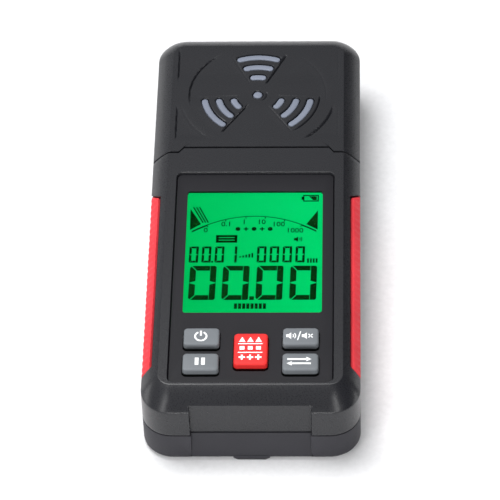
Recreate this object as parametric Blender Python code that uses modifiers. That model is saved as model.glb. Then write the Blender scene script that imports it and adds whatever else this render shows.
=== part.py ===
"""Handheld geiger counter, lying on its back: +Z is out of the front face, +Y towards the sensor head."""

from math import cos, hypot, pi, radians, sin

import bmesh
import bpy
from mathutils import Vector

MM = 0.001

# Case: overall sizes, edges and walls
BODY_LENGTH = 161.4 * MM
BODY_WIDTH = 67.0 * MM
BODY_DEPTH = 26.7 * MM
REST_HEIGHT = 0.95 * MM
PLAN_RADIUS = 9.5 * MM
FACE_RADIUS = 4.0 * MM
CHAMFER_DROP = 5.35 * MM
SIDE_INSET = 5.35 * MM
END_INSET = 7.3 * MM
BACK_ROUND = 1.0 * MM
WALL = 2.4 * MM
END_WALL = 3.8 * MM
BACK_WALL = 2.0 * MM
HEAD_WALL = 2.0 * MM
TONGUE = 0.6 * MM
TONGUE_HEIGHT = 1.5 * MM
PARTING_HEIGHT = 10.6 * MM
CORNER_STEPS = 5

# Clearances
GAP = 0.3 * MM
KEY_GAP = 0.4 * MM
SINK = 0.5 * MM
PAST = 2.0 * MM

# Seam between the head and the front, measured from the head end
SEAM_FROM_HEAD = 54.3 * MM
SEAM_JOG = 2.1 * MM
SEAM_FLAT_HALF = 23.4 * MM
SEAM_JOG_RUN = 1.6 * MM

# Trefoil of slots in the head
TREFOIL_FROM_HEAD = 30.2 * MM
SLOT_RADII = (8.15 * MM, 12.65 * MM, 17.1 * MM)
SLOT_HALF_ANGLES = (11.0, 17.4, 20.2)
SLOT_WIDTH = 2.7 * MM
CENTRE_HOLE_RADIUS = 1.75 * MM
INSERT_RIM = 0.7 * MM
INSERT_THICK = 1.0 * MM

# Sunk panel, its plate and the display window
PANEL_BELOW_SEAM = 11.3 * MM
PANEL_END_RIM = 0.9 * MM
PANEL_SIDE_RIM = 3.05 * MM
PANEL_RADIUS = 2.0 * MM
PANEL_SINK = 0.8 * MM
PLATE_THICK = 1.0 * MM
FLOOR_THICK = 1.5 * MM
WINDOW_BELOW_PANEL_TOP = 7.5 * MM
WINDOW_ABOVE_PANEL_END = 28.5 * MM
WINDOW_SIDE = 3.55 * MM
WINDOW_RADIUS = 0.9 * MM

# Display stack
GLASS_MARGIN = 1.6 * MM
GLASS_FOOT = 3.2 * MM
GLASS_THICK = 2.2 * MM
GUIDE_THICK = 3.8 * MM
HOLDER_WALL = 1.0 * MM
STRIP_WIDTH = 1.8 * MM

# Keys
GREY_KEY_WIDTH = 11.2 * MM
GREY_KEY_LENGTH = 7.1 * MM
RED_KEY_WIDTH = 10.6 * MM
RED_KEY_LENGTH = 12.9 * MM
KEY_RADIUS = 1.2 * MM
KEY_ROUND = 0.7 * MM
KEY_PROUD = 2.0 * MM
KEY_COLUMN = 15.2 * MM
LOWER_ROW_FROM_PANEL_END = 7.2 * MM
KEY_ROW_PITCH = 10.2 * MM
KEY_FLANGE = 0.6 * MM
KEY_TRAVEL = 0.6 * MM

# Key switches and boards
SWITCH_SIDE = 6.0 * MM
SWITCH_HEIGHT = 2.2 * MM
ACTUATOR_RADIUS = 1.75 * MM
ACTUATOR_HEIGHT = 0.5 * MM
BOARD_THICK = 1.6 * MM
BOARD_PAST_SEAM = 13.5 * MM
BOARD_SCREW_INSET = 2.0 * MM
BOARD_SCREW_LOW = 3.2 * MM
BOARD_SCREW_BELOW_SEAM = 6.5 * MM

# Screws and bosses
CASE_SCREW_RADIUS = 1.1 * MM
CASE_HEAD_RADIUS = 2.1 * MM
CASE_HEAD_HEIGHT = 1.6 * MM
CASE_HEAD_DEPTH = 3.1 * MM
CASE_SCREW_LENGTH = 14.0 * MM
BACK_BOSS_RADIUS = 3.4 * MM
FRONT_BOSS_RADIUS = 2.7 * MM
CASE_SCREW_LOW = 14.7 * MM
CASE_SCREW_HIGH = 18.7 * MM
CASE_SCREW_BELOW_SEAM = 8.0 * MM
SMALL_SCREW_RADIUS = 0.9 * MM
SMALL_HEAD_RADIUS = 1.6 * MM
SMALL_HEAD_HEIGHT = 1.2 * MM
SMALL_SCREW_LENGTH = 4.6 * MM
SMALL_BOSS_RADIUS = 2.1 * MM

# Side grips: a band with slanted ends, from halfway down the chamfer to just above the parting line
GRIP_TOP_BELOW_SEAM = 20.3 * MM
GRIP_ABOVE_END = 15.7 * MM
GRIP_UPPER_SLANT = 1.0
GRIP_LOWER_SLANT = 0.475
GRIP_INNER_DROP = 2.5 * MM
GRIP_ABOVE_PARTING = 1.2 * MM
GRIP_THICK = 1.2 * MM

# Cells, contacts and the battery door
CELL_RADIUS = 5.25 * MM
CELL_LENGTH = 43.3 * MM
CELL_NUB_RADIUS = 1.9 * MM
CELL_NUB = 1.2 * MM
CELL_SPACING = 0.4 * MM
CONTACT_THICK = 0.4 * MM
CONTACT_SIDE = 8.0 * MM
SPRING_LENGTH = 4.6 * MM
SPRING_WIRE = 0.7 * MM
SPRING_BASE_RADIUS = 3.6 * MM
SPRING_TIP_RADIUS = 2.2 * MM
SPRING_CURLS = 3.5
CURL_POINTS = 9
TUB_WALL = 1.2 * MM
TUB_SIDE_WALL = 3.0 * MM
DOOR_OVERLAP = 1.15 * MM
DOOR_END_THICK = 2.4 * MM
DOOR_RAIL = 1.0 * MM
DOOR_RAIL_THICK = 0.8 * MM
DOOR_RAIL_RISE = 0.9 * MM
DOOR_LEDGE = 1.0 * MM
LIP_WIDTH = 11.3 * MM
LIP_TIP_WIDTH = 9.0 * MM
LIP_THICK = 2.0 * MM
END_RECESS_MARGIN = 0.9 * MM
END_RECESS = 1.7 * MM
DOOR_RECESS = 1.3 * MM

# Raised rest panel on the back
REST_WIDTH = 40.0 * MM
REST_LENGTH = 62.0 * MM
REST_RADIUS = 3.0 * MM
REST_FROM_HEAD = 19.0 * MM

# Sensor board and tube in the head
SENSOR_BOARD_RISE = 4.4 * MM
SENSOR_BOARD_WIDTH = 54.0 * MM
SENSOR_BOARD_LOW = 15.0 * MM
SENSOR_BOARD_HIGH = 7.5 * MM
SENSOR_SCREW_X = 21.0 * MM
SENSOR_SCREW_DROP = 11.5 * MM
TUBE_RADIUS = 5.0 * MM
TUBE_LENGTH = 44.0 * MM
CAP_RADIUS = 5.2 * MM
CAP_LENGTH = 4.0 * MM
CLIP_THICK = 0.6 * MM
CLIP_WIDTH = 3.0 * MM
CLIP_OPENING = 50.0
LINK_WIDTH = 16.0 * MM
LINK_DEPTH = 3.0 * MM
LINK_DROP = 12.6 * MM

# Larger parts under the main board, placed from its head end, or above the battery tub
COIL_SIZE = (12.0 * MM, 10.0 * MM, 6.5 * MM)
COIL_PLACE = (-13.0 * MM, 34.0 * MM)
BUZZER_RADIUS = 6.0 * MM
BUZZER_HEIGHT = 6.0 * MM
BUZZER_PLACE = (12.0 * MM, 33.0 * MM)
CAPACITOR_RADIUS = 3.15 * MM
CAPACITOR_HEIGHT = 6.5 * MM
CAPACITOR_PLACE = (-13.0 * MM, 20.0 * MM)
CHIP_SIDE = 10.0 * MM
CHIP_THICK = 1.4 * MM
CHIP_ABOVE_TUB = 7.7 * MM

# Levels and places that follow from the sizes above
HALF_L = BODY_LENGTH / 2
HALF_W = BODY_WIDTH / 2
Z_BACK = REST_HEIGHT
Z_FACE = REST_HEIGHT + BODY_DEPTH
Z_PART = REST_HEIGHT + PARTING_HEIGHT
Z_CHAMFER = Z_FACE - CHAMFER_DROP
Z_PLATE = Z_FACE - PANEL_SINK
Z_POCKET = Z_PLATE - PLATE_THICK - GAP
Z_CEILING = Z_POCKET - FLOOR_THICK
Z_HEAD_CEILING = Z_FACE - HEAD_WALL
Z_UNDER = Z_CEILING - GAP
Z_GLASS = Z_POCKET
Z_GUIDE = Z_GLASS - GLASS_THICK - GAP
Z_BOARD = Z_GUIDE - GUIDE_THICK - GAP
Z_BOARD_UNDER = Z_BOARD - BOARD_THICK
Z_SWITCH = Z_BOARD + GAP
Z_ACTUATOR = Z_SWITCH + SWITCH_HEIGHT + ACTUATOR_HEIGHT
Z_KEY_FOOT = Z_ACTUATOR + GAP + KEY_TRAVEL
Z_DOOR = Z_BACK + BACK_WALL
Z_CELL = Z_DOOR + GAP + CELL_RADIUS
Z_TUB = Z_CELL + CELL_RADIUS + GAP
Z_SENSOR = Z_BACK + BACK_WALL + SENSOR_BOARD_RISE
Z_SENSOR_TOP = Z_SENSOR + BOARD_THICK
Z_TUBE = Z_SENSOR_TOP + GAP + CLIP_THICK + GAP + CAP_RADIUS

Y_SEAM = HALF_L - SEAM_FROM_HEAD
Y_TREFOIL = HALF_L - TREFOIL_FROM_HEAD
Y_PANEL_HIGH = Y_SEAM - PANEL_BELOW_SEAM
Y_PANEL_LOW = -HALF_L + END_INSET + PANEL_END_RIM
Y_WINDOW_HIGH = Y_PANEL_HIGH - WINDOW_BELOW_PANEL_TOP
Y_WINDOW_LOW = Y_PANEL_LOW + WINDOW_ABOVE_PANEL_END
WINDOW_LENGTH = Y_WINDOW_HIGH - Y_WINDOW_LOW
PANEL_WIDTH = BODY_WIDTH - 2 * (SIDE_INSET + PANEL_SIDE_RIM)
WINDOW_WIDTH = PANEL_WIDTH - 2 * WINDOW_SIDE
Y_LOWER_ROW = Y_PANEL_LOW + LOWER_ROW_FROM_PANEL_END
Y_UPPER_ROW = Y_LOWER_ROW + KEY_ROW_PITCH
Y_MIDDLE_ROW = (Y_LOWER_ROW + Y_UPPER_ROW) / 2
INSERT_RADIUS = SLOT_RADII[-1] + SLOT_WIDTH / 2 + INSERT_RIM
CASE_SCREW_X = HALF_W - WALL - GAP - TONGUE - GAP - FRONT_BOSS_RADIUS
Y_CASE_SCREWS = (-HALF_L + CASE_SCREW_LOW, Y_SEAM - CASE_SCREW_BELOW_SEAM, HALF_L - CASE_SCREW_HIGH)
BOARD_HALF = CASE_SCREW_X - FRONT_BOSS_RADIUS - GAP
BOARD_SCREW_X = BOARD_HALF - BOARD_SCREW_INSET
Y_BOARD_LOW = -HALF_L + END_WALL + GAP + TONGUE + GAP
Y_BOARD_HIGH = Y_SEAM + BOARD_PAST_SEAM
Y_BOARD_SCREWS = (Y_BOARD_LOW + BOARD_SCREW_LOW, Y_SEAM - BOARD_SCREW_BELOW_SEAM)
CELL_PITCH = 2 * CELL_RADIUS + CELL_SPACING
TUB_HALF = CELL_PITCH + CELL_RADIUS + GAP
TUB_OUTER_HALF = TUB_HALF + TUB_SIDE_WALL
Y_TUB_LOW = -HALF_L + END_WALL + GAP
Y_COMPARTMENT_LOW = Y_TUB_LOW + TUB_WALL
CELL_SPACE = SPRING_LENGTH + CELL_LENGTH + CELL_NUB + 2 * CONTACT_THICK + 5 * GAP
Y_COMPARTMENT_HIGH = Y_COMPARTMENT_LOW + CELL_SPACE
Y_DOOR_HIGH = Y_COMPARTMENT_HIGH - DOOR_LEDGE
Y_CHIP = Y_COMPARTMENT_HIGH + TUB_WALL + CHIP_ABOVE_TUB + CHIP_SIDE / 2
DOOR_HALF = TUB_HALF + DOOR_OVERLAP
END_RECESS_HALF = DOOR_HALF + END_RECESS_MARGIN
Y_SENSOR_LOW = Y_TREFOIL - SENSOR_BOARD_LOW
Y_SENSOR_HIGH = Y_TREFOIL + SENSOR_BOARD_HIGH

DARK = (0.045, 0.045, 0.051, 1.0)
PANEL_DARK = (0.034, 0.034, 0.040, 1.0)
KEY_GREY = (0.26, 0.28, 0.30, 1.0)
KEY_RED = (0.75, 0.035, 0.035, 1.0)
GRIP_RED = (0.78, 0.06, 0.08, 1.0)
INSERT_GREY = (0.22, 0.24, 0.28, 1.0)
LCD_GREEN = (0.01, 0.60, 0.14, 1.0)
BOARD_GREEN = (0.02, 0.16, 0.06, 1.0)
STEEL = (0.55, 0.55, 0.56, 1.0)


def clear_scene():
    """Start from an empty file."""
    for obj in list(bpy.data.objects):
        bpy.data.objects.remove(obj, do_unlink=True)


def new_collection(name):
    """A collection linked to the scene."""
    collection = bpy.data.collections.new(name)
    bpy.context.scene.collection.children.link(collection)
    return collection


def material(name, colour, roughness, metallic=0.0):
    """A plain Principled material."""
    mat = bpy.data.materials.new(name)
    mat.use_nodes = True
    shader = mat.node_tree.nodes["Principled BSDF"]
    shader.inputs["Base Color"].default_value = colour
    shader.inputs["Roughness"].default_value = roughness
    shader.inputs["Metallic"].default_value = metallic
    return mat


clear_scene()
PARTS = new_collection("geiger_counter")
CUTTERS = new_collection("cutters")

MATERIALS = {
    "dark_plastic": material("dark_plastic", DARK, 0.55),
    "panel_plastic": material("panel_plastic", PANEL_DARK, 0.6),
    "grey_rubber": material("grey_rubber", KEY_GREY, 0.6),
    "red_rubber": material("red_rubber", KEY_RED, 0.5),
    "grip_rubber": material("grip_rubber", GRIP_RED, 0.6),
    "insert_grey": material("insert_grey", INSERT_GREY, 0.6),
    "clear_plastic": material("clear_plastic", (0.8, 0.85, 0.8, 1.0), 0.05),
    "display_glass": material("display_glass", LCD_GREEN, 0.2),
    "white_plastic": material("white_plastic", (0.8, 0.8, 0.78, 1.0), 0.5),
    "black_part": material("black_part", (0.02, 0.02, 0.02, 1.0), 0.5),
    "board": material("board", BOARD_GREEN, 0.4),
    "steel": material("steel", STEEL, 0.3, 1.0),
    "tube_metal": material("tube_metal", (0.45, 0.43, 0.40, 1.0), 0.35, 1.0),
    "cell_wrap": material("cell_wrap", (0.10, 0.14, 0.22, 1.0), 0.35),
}


def place(name, mesh, finish):
    """Put a mesh into the scene: a named part, or a cutter where it has no finish."""
    obj = bpy.data.objects.new(name, mesh)
    if finish is None:
        CUTTERS.objects.link(obj)
        obj.hide_render = True
        obj.display_type = "WIRE"
    else:
        PARTS.objects.link(obj)
        obj.data.materials.append(MATERIALS[finish])
    return obj


def to_mesh(name, bm):
    """Turn a bmesh into a mesh with its faces pointing out and its rounds shaded smooth."""
    bmesh.ops.recalc_face_normals(bm, faces=bm.faces)
    mesh = bpy.data.meshes.new(name)
    bm.to_mesh(mesh)
    bm.free()
    mesh.shade_smooth()
    mesh.set_sharp_from_angle(angle=radians(35))
    return mesh


def rounded_outline(half_x, half_y, radius, steps=CORNER_STEPS):
    """Points of a rectangle with round corners, counter-clockwise from the +X side."""
    points = []
    corners = ((1, 1, 0.0), (-1, 1, 0.5), (-1, -1, 1.0), (1, -1, 1.5))
    for side_x, side_y, start in corners:
        centre_x = side_x * (half_x - radius)
        centre_y = side_y * (half_y - radius)
        for step in range(steps + 1):
            turn = pi * (start + 0.5 * step / steps)
            points.append((centre_x + radius * cos(turn), centre_y + radius * sin(turn)))
    return points


def loft(name, sections, finish=None):
    """Closed solid through a stack of (height, outline) sections with equal point counts."""
    bm = bmesh.new()
    rings = [[bm.verts.new((x, y, z)) for x, y in outline] for z, outline in sections]
    for lower, upper in zip(rings, rings[1:]):
        count = len(lower)
        for i in range(count):
            j = (i + 1) % count
            bm.faces.new((lower[i], lower[j], upper[j], upper[i]))
    bm.faces.new(list(reversed(rings[0])))
    bm.faces.new(rings[-1])
    return place(name, to_mesh(name, bm), finish)


def slab(name, centre, half_x, half_y, radius, z_low, z_high, finish=None):
    """Flat plate with round corners."""
    outline = [(x + centre[0], y + centre[1]) for x, y in rounded_outline(half_x, half_y, radius)]
    return loft(name, [(z_low, outline), (z_high, outline)], finish)


def prism(name, outline, z_low, z_high, finish=None):
    """Upright solid on a flat outline."""
    return loft(name, [(z_low, outline), (z_high, outline)], finish)


def side_prism(name, outline_yz, x_low, x_high, finish=None):
    """Solid along X on an outline given as (y, z) points."""
    bm = bmesh.new()
    ends = [[bm.verts.new((x, y, z)) for y, z in outline_yz] for x in (x_low, x_high)]
    count = len(outline_yz)
    for i in range(count):
        j = (i + 1) % count
        bm.faces.new((ends[0][i], ends[0][j], ends[1][j], ends[1][i]))
    bm.faces.new(ends[0])
    bm.faces.new(list(reversed(ends[1])))
    return place(name, to_mesh(name, bm), finish)


def block(name, low, high, finish=None):
    """Box between two corners."""
    bm = bmesh.new()
    bmesh.ops.create_cube(bm, size=1.0)
    size = [h - l for l, h in zip(low, high)]
    middle = [(h + l) / 2 for l, h in zip(low, high)]
    bmesh.ops.scale(bm, vec=size, verts=bm.verts)
    bmesh.ops.translate(bm, vec=middle, verts=bm.verts)
    return place(name, to_mesh(name, bm), finish)


def upright(name, x, y, radius, z_low, z_high, finish=None, segments=14):
    """Upright cylinder."""
    bm = bmesh.new()
    bmesh.ops.create_cone(bm, cap_ends=True, segments=segments, radius1=radius, radius2=radius,
                          depth=z_high - z_low)
    bmesh.ops.translate(bm, vec=(x, y, (z_low + z_high) / 2), verts=bm.verts)
    return place(name, to_mesh(name, bm), finish)


def turned(name, profile, finish, location, rotation=(0.0, 0.0, 0.0), steps=14):
    """Round solid: (radius, height) points from the top of the axis down its outer side, turned about Z."""
    mesh = bpy.data.meshes.new(name)
    edges = [(i, i + 1) for i in range(len(profile) - 1)]
    mesh.from_pydata([(r, 0.0, z) for r, z in profile], edges, [])
    obj = place(name, mesh, finish)
    obj.location = location
    obj.rotation_euler = rotation
    turn = obj.modifiers.new("turn", "SCREW")
    turn.steps = steps
    turn.render_steps = steps
    turn.use_merge_vertices = True
    turn.merge_threshold = 0.00001
    return obj


def combine(target, tool, operation):
    """Join a tool to a piece, cut it away or keep what both share."""
    step = target.modifiers.new(tool.name, "BOOLEAN")
    step.operation = operation
    step.object = tool
    step.solver = "EXACT"


def cut(target, *tools):
    """Cut tools away from a piece."""
    for tool in tools:
        combine(target, tool, "DIFFERENCE")


def join(target, *tools):
    """Fuse tools to a piece."""
    for tool in tools:
        combine(target, tool, "UNION")


def merged(name, solids):
    """One tool made of several separate solids."""
    bm = bmesh.new()
    for solid in solids:
        bm.from_mesh(solid.data)
        bpy.data.objects.remove(solid, do_unlink=True)
    return place(name, to_mesh(name, bm), None)


def case_outline(inset_x, inset_y, z):
    """The case's outline at a height, moved in from its walls and from its sloping edges."""
    rise = (z - Z_CHAMFER) / CHAMFER_DROP
    side_slope = hypot(SIDE_INSET, CHAMFER_DROP) / CHAMFER_DROP
    end_slope = hypot(END_INSET, CHAMFER_DROP) / CHAMFER_DROP
    half_x = min(HALF_W - inset_x, HALF_W - SIDE_INSET * rise - inset_x * side_slope)
    half_y = min(HALF_L - inset_y, HALF_L - END_INSET * rise - inset_y * end_slope)
    radius = PLAN_RADIUS + (FACE_RADIUS - PLAN_RADIUS) * max(0.0, rise)
    radius = max(radius - max(inset_x, inset_y), 1.0 * MM)
    return rounded_outline(half_x, half_y, radius)


def case_loft(name, inset_x, inset_y, z_low, z_high, finish=None):
    """The case's front form, inset by its walls, from one height to another."""
    side_rise = inset_x * (hypot(SIDE_INSET, CHAMFER_DROP) / CHAMFER_DROP - 1) * CHAMFER_DROP / SIDE_INSET
    end_rise = inset_y * (hypot(END_INSET, CHAMFER_DROP) / CHAMFER_DROP - 1) * CHAMFER_DROP / END_INSET
    z_bend = Z_CHAMFER - max(side_rise, end_rise)
    heights = (z_low, z_bend, z_high)
    return loft(name, [(z, case_outline(inset_x, inset_y, z)) for z in heights], finish)


def seam_outline(offset, side):
    """Everything on one side of the stepped seam, moved along Y by offset."""
    step_x = SEAM_FLAT_HALF + SEAM_JOG_RUN
    line = [(-HALF_W - PAST, Y_SEAM - SEAM_JOG + offset), (-step_x, Y_SEAM - SEAM_JOG + offset),
            (-SEAM_FLAT_HALF, Y_SEAM + offset), (SEAM_FLAT_HALF, Y_SEAM + offset),
            (step_x, Y_SEAM - SEAM_JOG + offset), (HALF_W + PAST, Y_SEAM - SEAM_JOG + offset)]
    far = side * (HALF_L + PAST)
    return line + [(HALF_W + PAST, far), (-HALF_W - PAST, far)]


def arc_slot(radius, half_angle, middle, half_width, steps=6):
    """Outline of a slot along an arc about the trefoil's centre, with round ends; angles in degrees."""
    points = []
    start, end = radians(middle - half_angle), radians(middle + half_angle)
    for i in range(steps + 1):
        turn = start + (end - start) * i / steps
        points.append((radius + half_width, turn))
    outer = [(r * cos(t), r * sin(t)) for r, t in points]
    inner = [((radius - half_width) * cos(t), (radius - half_width) * sin(t)) for _, t in reversed(points)]

    def cap(turn, first):
        centre = Vector((radius * cos(turn), radius * sin(turn)))
        angles = [first + pi * k / 4 for k in (1, 2, 3)]
        return [(centre.x + half_width * cos(a), centre.y + half_width * sin(a)) for a in angles]

    outline = outer + cap(end, end) + inner + cap(start, start + pi)
    return [(x, y + Y_TREFOIL) for x, y in outline]


def trefoil(name, shrink, z_low, z_high):
    """The nine arc slots and the centre hole as one tool, drawn in by shrink all round."""
    solids = []
    for blade in (90.0, 210.0, 330.0):
        for radius, half_angle in zip(SLOT_RADII, SLOT_HALF_ANGLES):
            outline = arc_slot(radius, half_angle, blade, SLOT_WIDTH / 2 - shrink)
            solids.append(prism("slot", outline, z_low, z_high))
    solids.append(upright("hole", 0.0, Y_TREFOIL, CENTRE_HOLE_RADIUS - shrink, z_low, z_high, segments=12))
    return merged(name, solids)


def both_sides(x, rows):
    """Places at plus and minus x on each row."""
    return [(side * x, y) for y in rows for side in (-1, 1)]


def bosses(name, places, radius, z_low, z_high):
    """Round posts as one tool."""
    return merged(name, [upright("post", x, y, radius, z_low, z_high) for x, y in places])


def key_layout():
    """Name, centre, half width, half length and finish of each key."""
    grey = (GREY_KEY_WIDTH / 2, GREY_KEY_LENGTH / 2, "grey_rubber")
    red = (RED_KEY_WIDTH / 2, RED_KEY_LENGTH / 2, "red_rubber")
    return (
        ("power", (-KEY_COLUMN, Y_UPPER_ROW), *grey),
        ("hold", (-KEY_COLUMN, Y_LOWER_ROW), *grey),
        ("mode", (0.0, Y_MIDDLE_ROW), *red),
        ("sound", (KEY_COLUMN, Y_UPPER_ROW), *grey),
        ("unit", (KEY_COLUMN, Y_LOWER_ROW), *grey),
    )


def key_holes(name, z_low, z_high):
    """Openings for the five keys as one tool."""
    holes = []
    for _, centre, half_x, half_y, _ in key_layout():
        holes.append(slab("key_hole", centre, half_x + KEY_GAP, half_y + KEY_GAP, KEY_RADIUS + KEY_GAP,
                          z_low, z_high))
    return merged(name, holes)


def grip_outline(spread):
    """Side view (y, z) of a grip: a band with slanted ends, widened by spread."""
    z_high = Z_FACE - GRIP_INNER_DROP + spread
    z_low = Z_PART + GRIP_ABOVE_PARTING - spread
    y_high = Y_SEAM - GRIP_TOP_BELOW_SEAM
    y_low = -HALF_L + GRIP_ABOVE_END
    drop = z_high - z_low
    return [(y_low - spread, z_high), (y_low - GRIP_LOWER_SLANT * drop - spread, z_low),
            (y_high + GRIP_UPPER_SLANT * drop + spread, z_low), (y_high + spread, z_high)]


def grip_band(name, side, spread):
    """The slanted band of one side, reaching past the case's wall."""
    inner = side * (HALF_W - SIDE_INSET)
    outer = side * (HALF_W + PAST)
    return side_prism(name, grip_outline(spread), min(inner, outer), max(inner, outer))


def build_grips():
    """Red grips let into the sides, and the pockets they lie in."""
    pockets = []
    for label, side in (("left", -1), ("right", 1)):
        low, high = Z_PART - PAST, Z_FACE
        grip = case_loft("grip_" + label, 0.0, 0.0, low, high, "grip_rubber")
        combine(grip, grip_band("grip_band_" + label, side, 0.0), "INTERSECT")
        cut(grip, case_loft("grip_core_" + label, GRIP_THICK, GRIP_THICK, low - PAST, high + PAST))
        pocket = grip_band("grip_pocket_" + label, side, GAP)
        depth = GRIP_THICK + GAP
        cut(pocket, case_loft("pocket_core_" + label, depth, depth, low - PAST, high + PAST))
        pockets.append(pocket)
    return pockets


def build_front_cover(pockets):
    """Front shell: sunk panel, window and key openings, end recess, grip pockets and screw posts."""
    z_rim = Z_PART + GAP / 2
    cover = case_loft("front_cover", 0.0, 0.0, z_rim, Z_FACE, "dark_plastic")
    cut(cover, prism("front_seam", seam_outline(-GAP / 2, 1), z_rim - PAST, Z_FACE + PAST))
    cut(cover, case_loft("front_cavity", WALL, END_WALL, z_rim - PAST, Z_CEILING))
    join(cover, bosses("front_case_posts", both_sides(CASE_SCREW_X, Y_CASE_SCREWS[:2]), FRONT_BOSS_RADIUS,
                       z_rim, Z_CEILING + SINK))
    join(cover, bosses("board_posts", both_sides(BOARD_SCREW_X, Y_BOARD_SCREWS), SMALL_BOSS_RADIUS,
                       Z_BOARD + GAP, Z_CEILING + SINK))
    panel_middle = (0.0, (Y_PANEL_HIGH + Y_PANEL_LOW) / 2)
    panel_half = (Y_PANEL_HIGH - Y_PANEL_LOW) / 2
    cut(cover, slab("panel_pocket", panel_middle, PANEL_WIDTH / 2, panel_half, PANEL_RADIUS,
                    Z_POCKET, Z_FACE + PAST))
    half_x, y_low, y_high = display_outline(GAP)
    cut(cover, block("window_opening", (-half_x, y_low, Z_CEILING - PAST), (half_x, y_high, Z_FACE + PAST)))
    cut(cover, key_holes("floor_key_holes", Z_CEILING - PAST, Z_FACE + PAST))
    cut(cover, block("end_recess", (-END_RECESS_HALF, -HALF_L - PAST, z_rim - PAST),
                     (END_RECESS_HALF, -HALF_L + END_RECESS, Z_FACE + PAST)))
    cut(cover, *pockets)
    cut(cover, bosses("front_case_pilots", both_sides(CASE_SCREW_X, Y_CASE_SCREWS[:2]),
                      CASE_SCREW_RADIUS + GAP, z_rim - PAST, case_screw_tip() + GAP))
    cut(cover, bosses("board_pilots", both_sides(BOARD_SCREW_X, Y_BOARD_SCREWS), SMALL_SCREW_RADIUS + GAP,
                      Z_BOARD - PAST, board_screw_tip() + GAP))


def build_head_cover():
    """Head shell with the trefoil of slots and two screw posts."""
    z_rim = Z_PART + GAP / 2
    head_places = both_sides(CASE_SCREW_X, Y_CASE_SCREWS[2:])
    cover = case_loft("head_cover", 0.0, 0.0, z_rim, Z_FACE, "dark_plastic")
    cut(cover, prism("head_seam", seam_outline(GAP / 2, -1), z_rim - PAST, Z_FACE + PAST))
    cut(cover, case_loft("head_cavity", WALL, END_WALL, z_rim - PAST, Z_HEAD_CEILING))
    join(cover, bosses("head_posts", head_places, FRONT_BOSS_RADIUS, z_rim, Z_CEILING + SINK))
    cut(cover, trefoil("head_slots", 0.0, Z_HEAD_CEILING - PAST, Z_FACE + PAST))
    cut(cover, bosses("head_pilots", head_places, CASE_SCREW_RADIUS + GAP, z_rim - PAST,
                      case_screw_tip() + GAP))


def build_grille_insert():
    """Light disc under the head's face, with ribs that fill the slots."""
    z_high = Z_HEAD_CEILING - GAP
    insert = upright("grille_insert", 0.0, Y_TREFOIL, INSERT_RADIUS, z_high - INSERT_THICK, z_high,
                     "insert_grey", segments=28)
    join(insert, trefoil("insert_ribs", GAP, z_high - SINK, Z_FACE - GAP))


def build_back_cover():
    """Rear shell: rest panel, aligning tongue, battery tub, screw posts and the battery opening."""
    z_rim = Z_PART - GAP / 2
    outline = rounded_outline(HALF_W, HALF_L, PLAN_RADIUS)
    edge = rounded_outline(HALF_W - BACK_ROUND, HALF_L - BACK_ROUND, PLAN_RADIUS - BACK_ROUND)
    cover = loft("back_cover", [(Z_BACK, edge), (Z_BACK + BACK_ROUND, outline), (z_rim, outline)],
                 "dark_plastic")
    lip_x, lip_y = WALL + GAP, END_WALL + GAP
    tongue = rounded_outline(HALF_W - lip_x, HALF_L - lip_y, PLAN_RADIUS - lip_y)
    inner = rounded_outline(HALF_W - lip_x - TONGUE, HALF_L - lip_y - TONGUE, PLAN_RADIUS - lip_y - TONGUE)
    join(cover, prism("tongue", tongue, z_rim - PAST, Z_PART + TONGUE_HEIGHT))
    cut(cover, prism("back_cavity", inner, Z_DOOR, Z_PART + TONGUE_HEIGHT + PAST))
    rest_middle = (0.0, HALF_L - REST_FROM_HEAD - REST_LENGTH / 2)
    join(cover, slab("rest_panel", rest_middle, REST_WIDTH / 2, REST_LENGTH / 2, REST_RADIUS,
                     0.0, Z_BACK + SINK))
    join(cover, block("tub", (-TUB_OUTER_HALF, Y_TUB_LOW, Z_BACK + SINK),
                      (TUB_OUTER_HALF, Y_COMPARTMENT_HIGH + TUB_WALL, Z_TUB + TUB_WALL)))
    case_places = both_sides(CASE_SCREW_X, Y_CASE_SCREWS)
    sensor_places = both_sides(SENSOR_SCREW_X, (Y_TREFOIL - SENSOR_SCREW_DROP,))
    join(cover, bosses("back_case_posts", case_places, BACK_BOSS_RADIUS, Z_BACK + SINK, z_rim))
    join(cover, bosses("sensor_posts", sensor_places, SMALL_BOSS_RADIUS, Z_BACK + SINK, Z_SENSOR - GAP))
    cut(cover, block("compartment", (-TUB_HALF, Y_COMPARTMENT_LOW, Z_DOOR + GAP),
                     (TUB_HALF, Y_COMPARTMENT_HIGH, Z_TUB)))
    cut(cover, block("door_opening", (-DOOR_HALF - GAP, -HALF_L - PAST, Z_BACK - PAST),
                     (DOOR_HALF + GAP, Y_DOOR_HIGH + GAP, Z_DOOR + GAP)))
    rail = DOOR_HALF + DOOR_RAIL + GAP
    cut(cover, block("rail_grooves", (-rail, -HALF_L - PAST, Z_BACK + DOOR_RAIL_RISE - GAP),
                     (rail, Y_DOOR_HIGH + GAP, Z_BACK + DOOR_RAIL_RISE + DOOR_RAIL_THICK + GAP)))
    cut(cover, block("door_end_opening", (-DOOR_HALF - GAP, -HALF_L - PAST, Z_BACK - PAST),
                     (DOOR_HALF + GAP, -HALF_L + DOOR_END_THICK + GAP, Z_PART + PAST)))
    seat = Z_BACK + CASE_HEAD_DEPTH + GAP
    cut(cover, bosses("case_counterbores", case_places, CASE_HEAD_RADIUS + GAP, Z_BACK - PAST, seat))
    cut(cover, bosses("case_holes", case_places, CASE_SCREW_RADIUS + GAP, Z_BACK - PAST, z_rim + PAST))
    cut(cover, bosses("sensor_pilots", sensor_places, SMALL_SCREW_RADIUS + GAP,
                      sensor_screw_tip() - GAP, Z_SENSOR + PAST))


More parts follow.
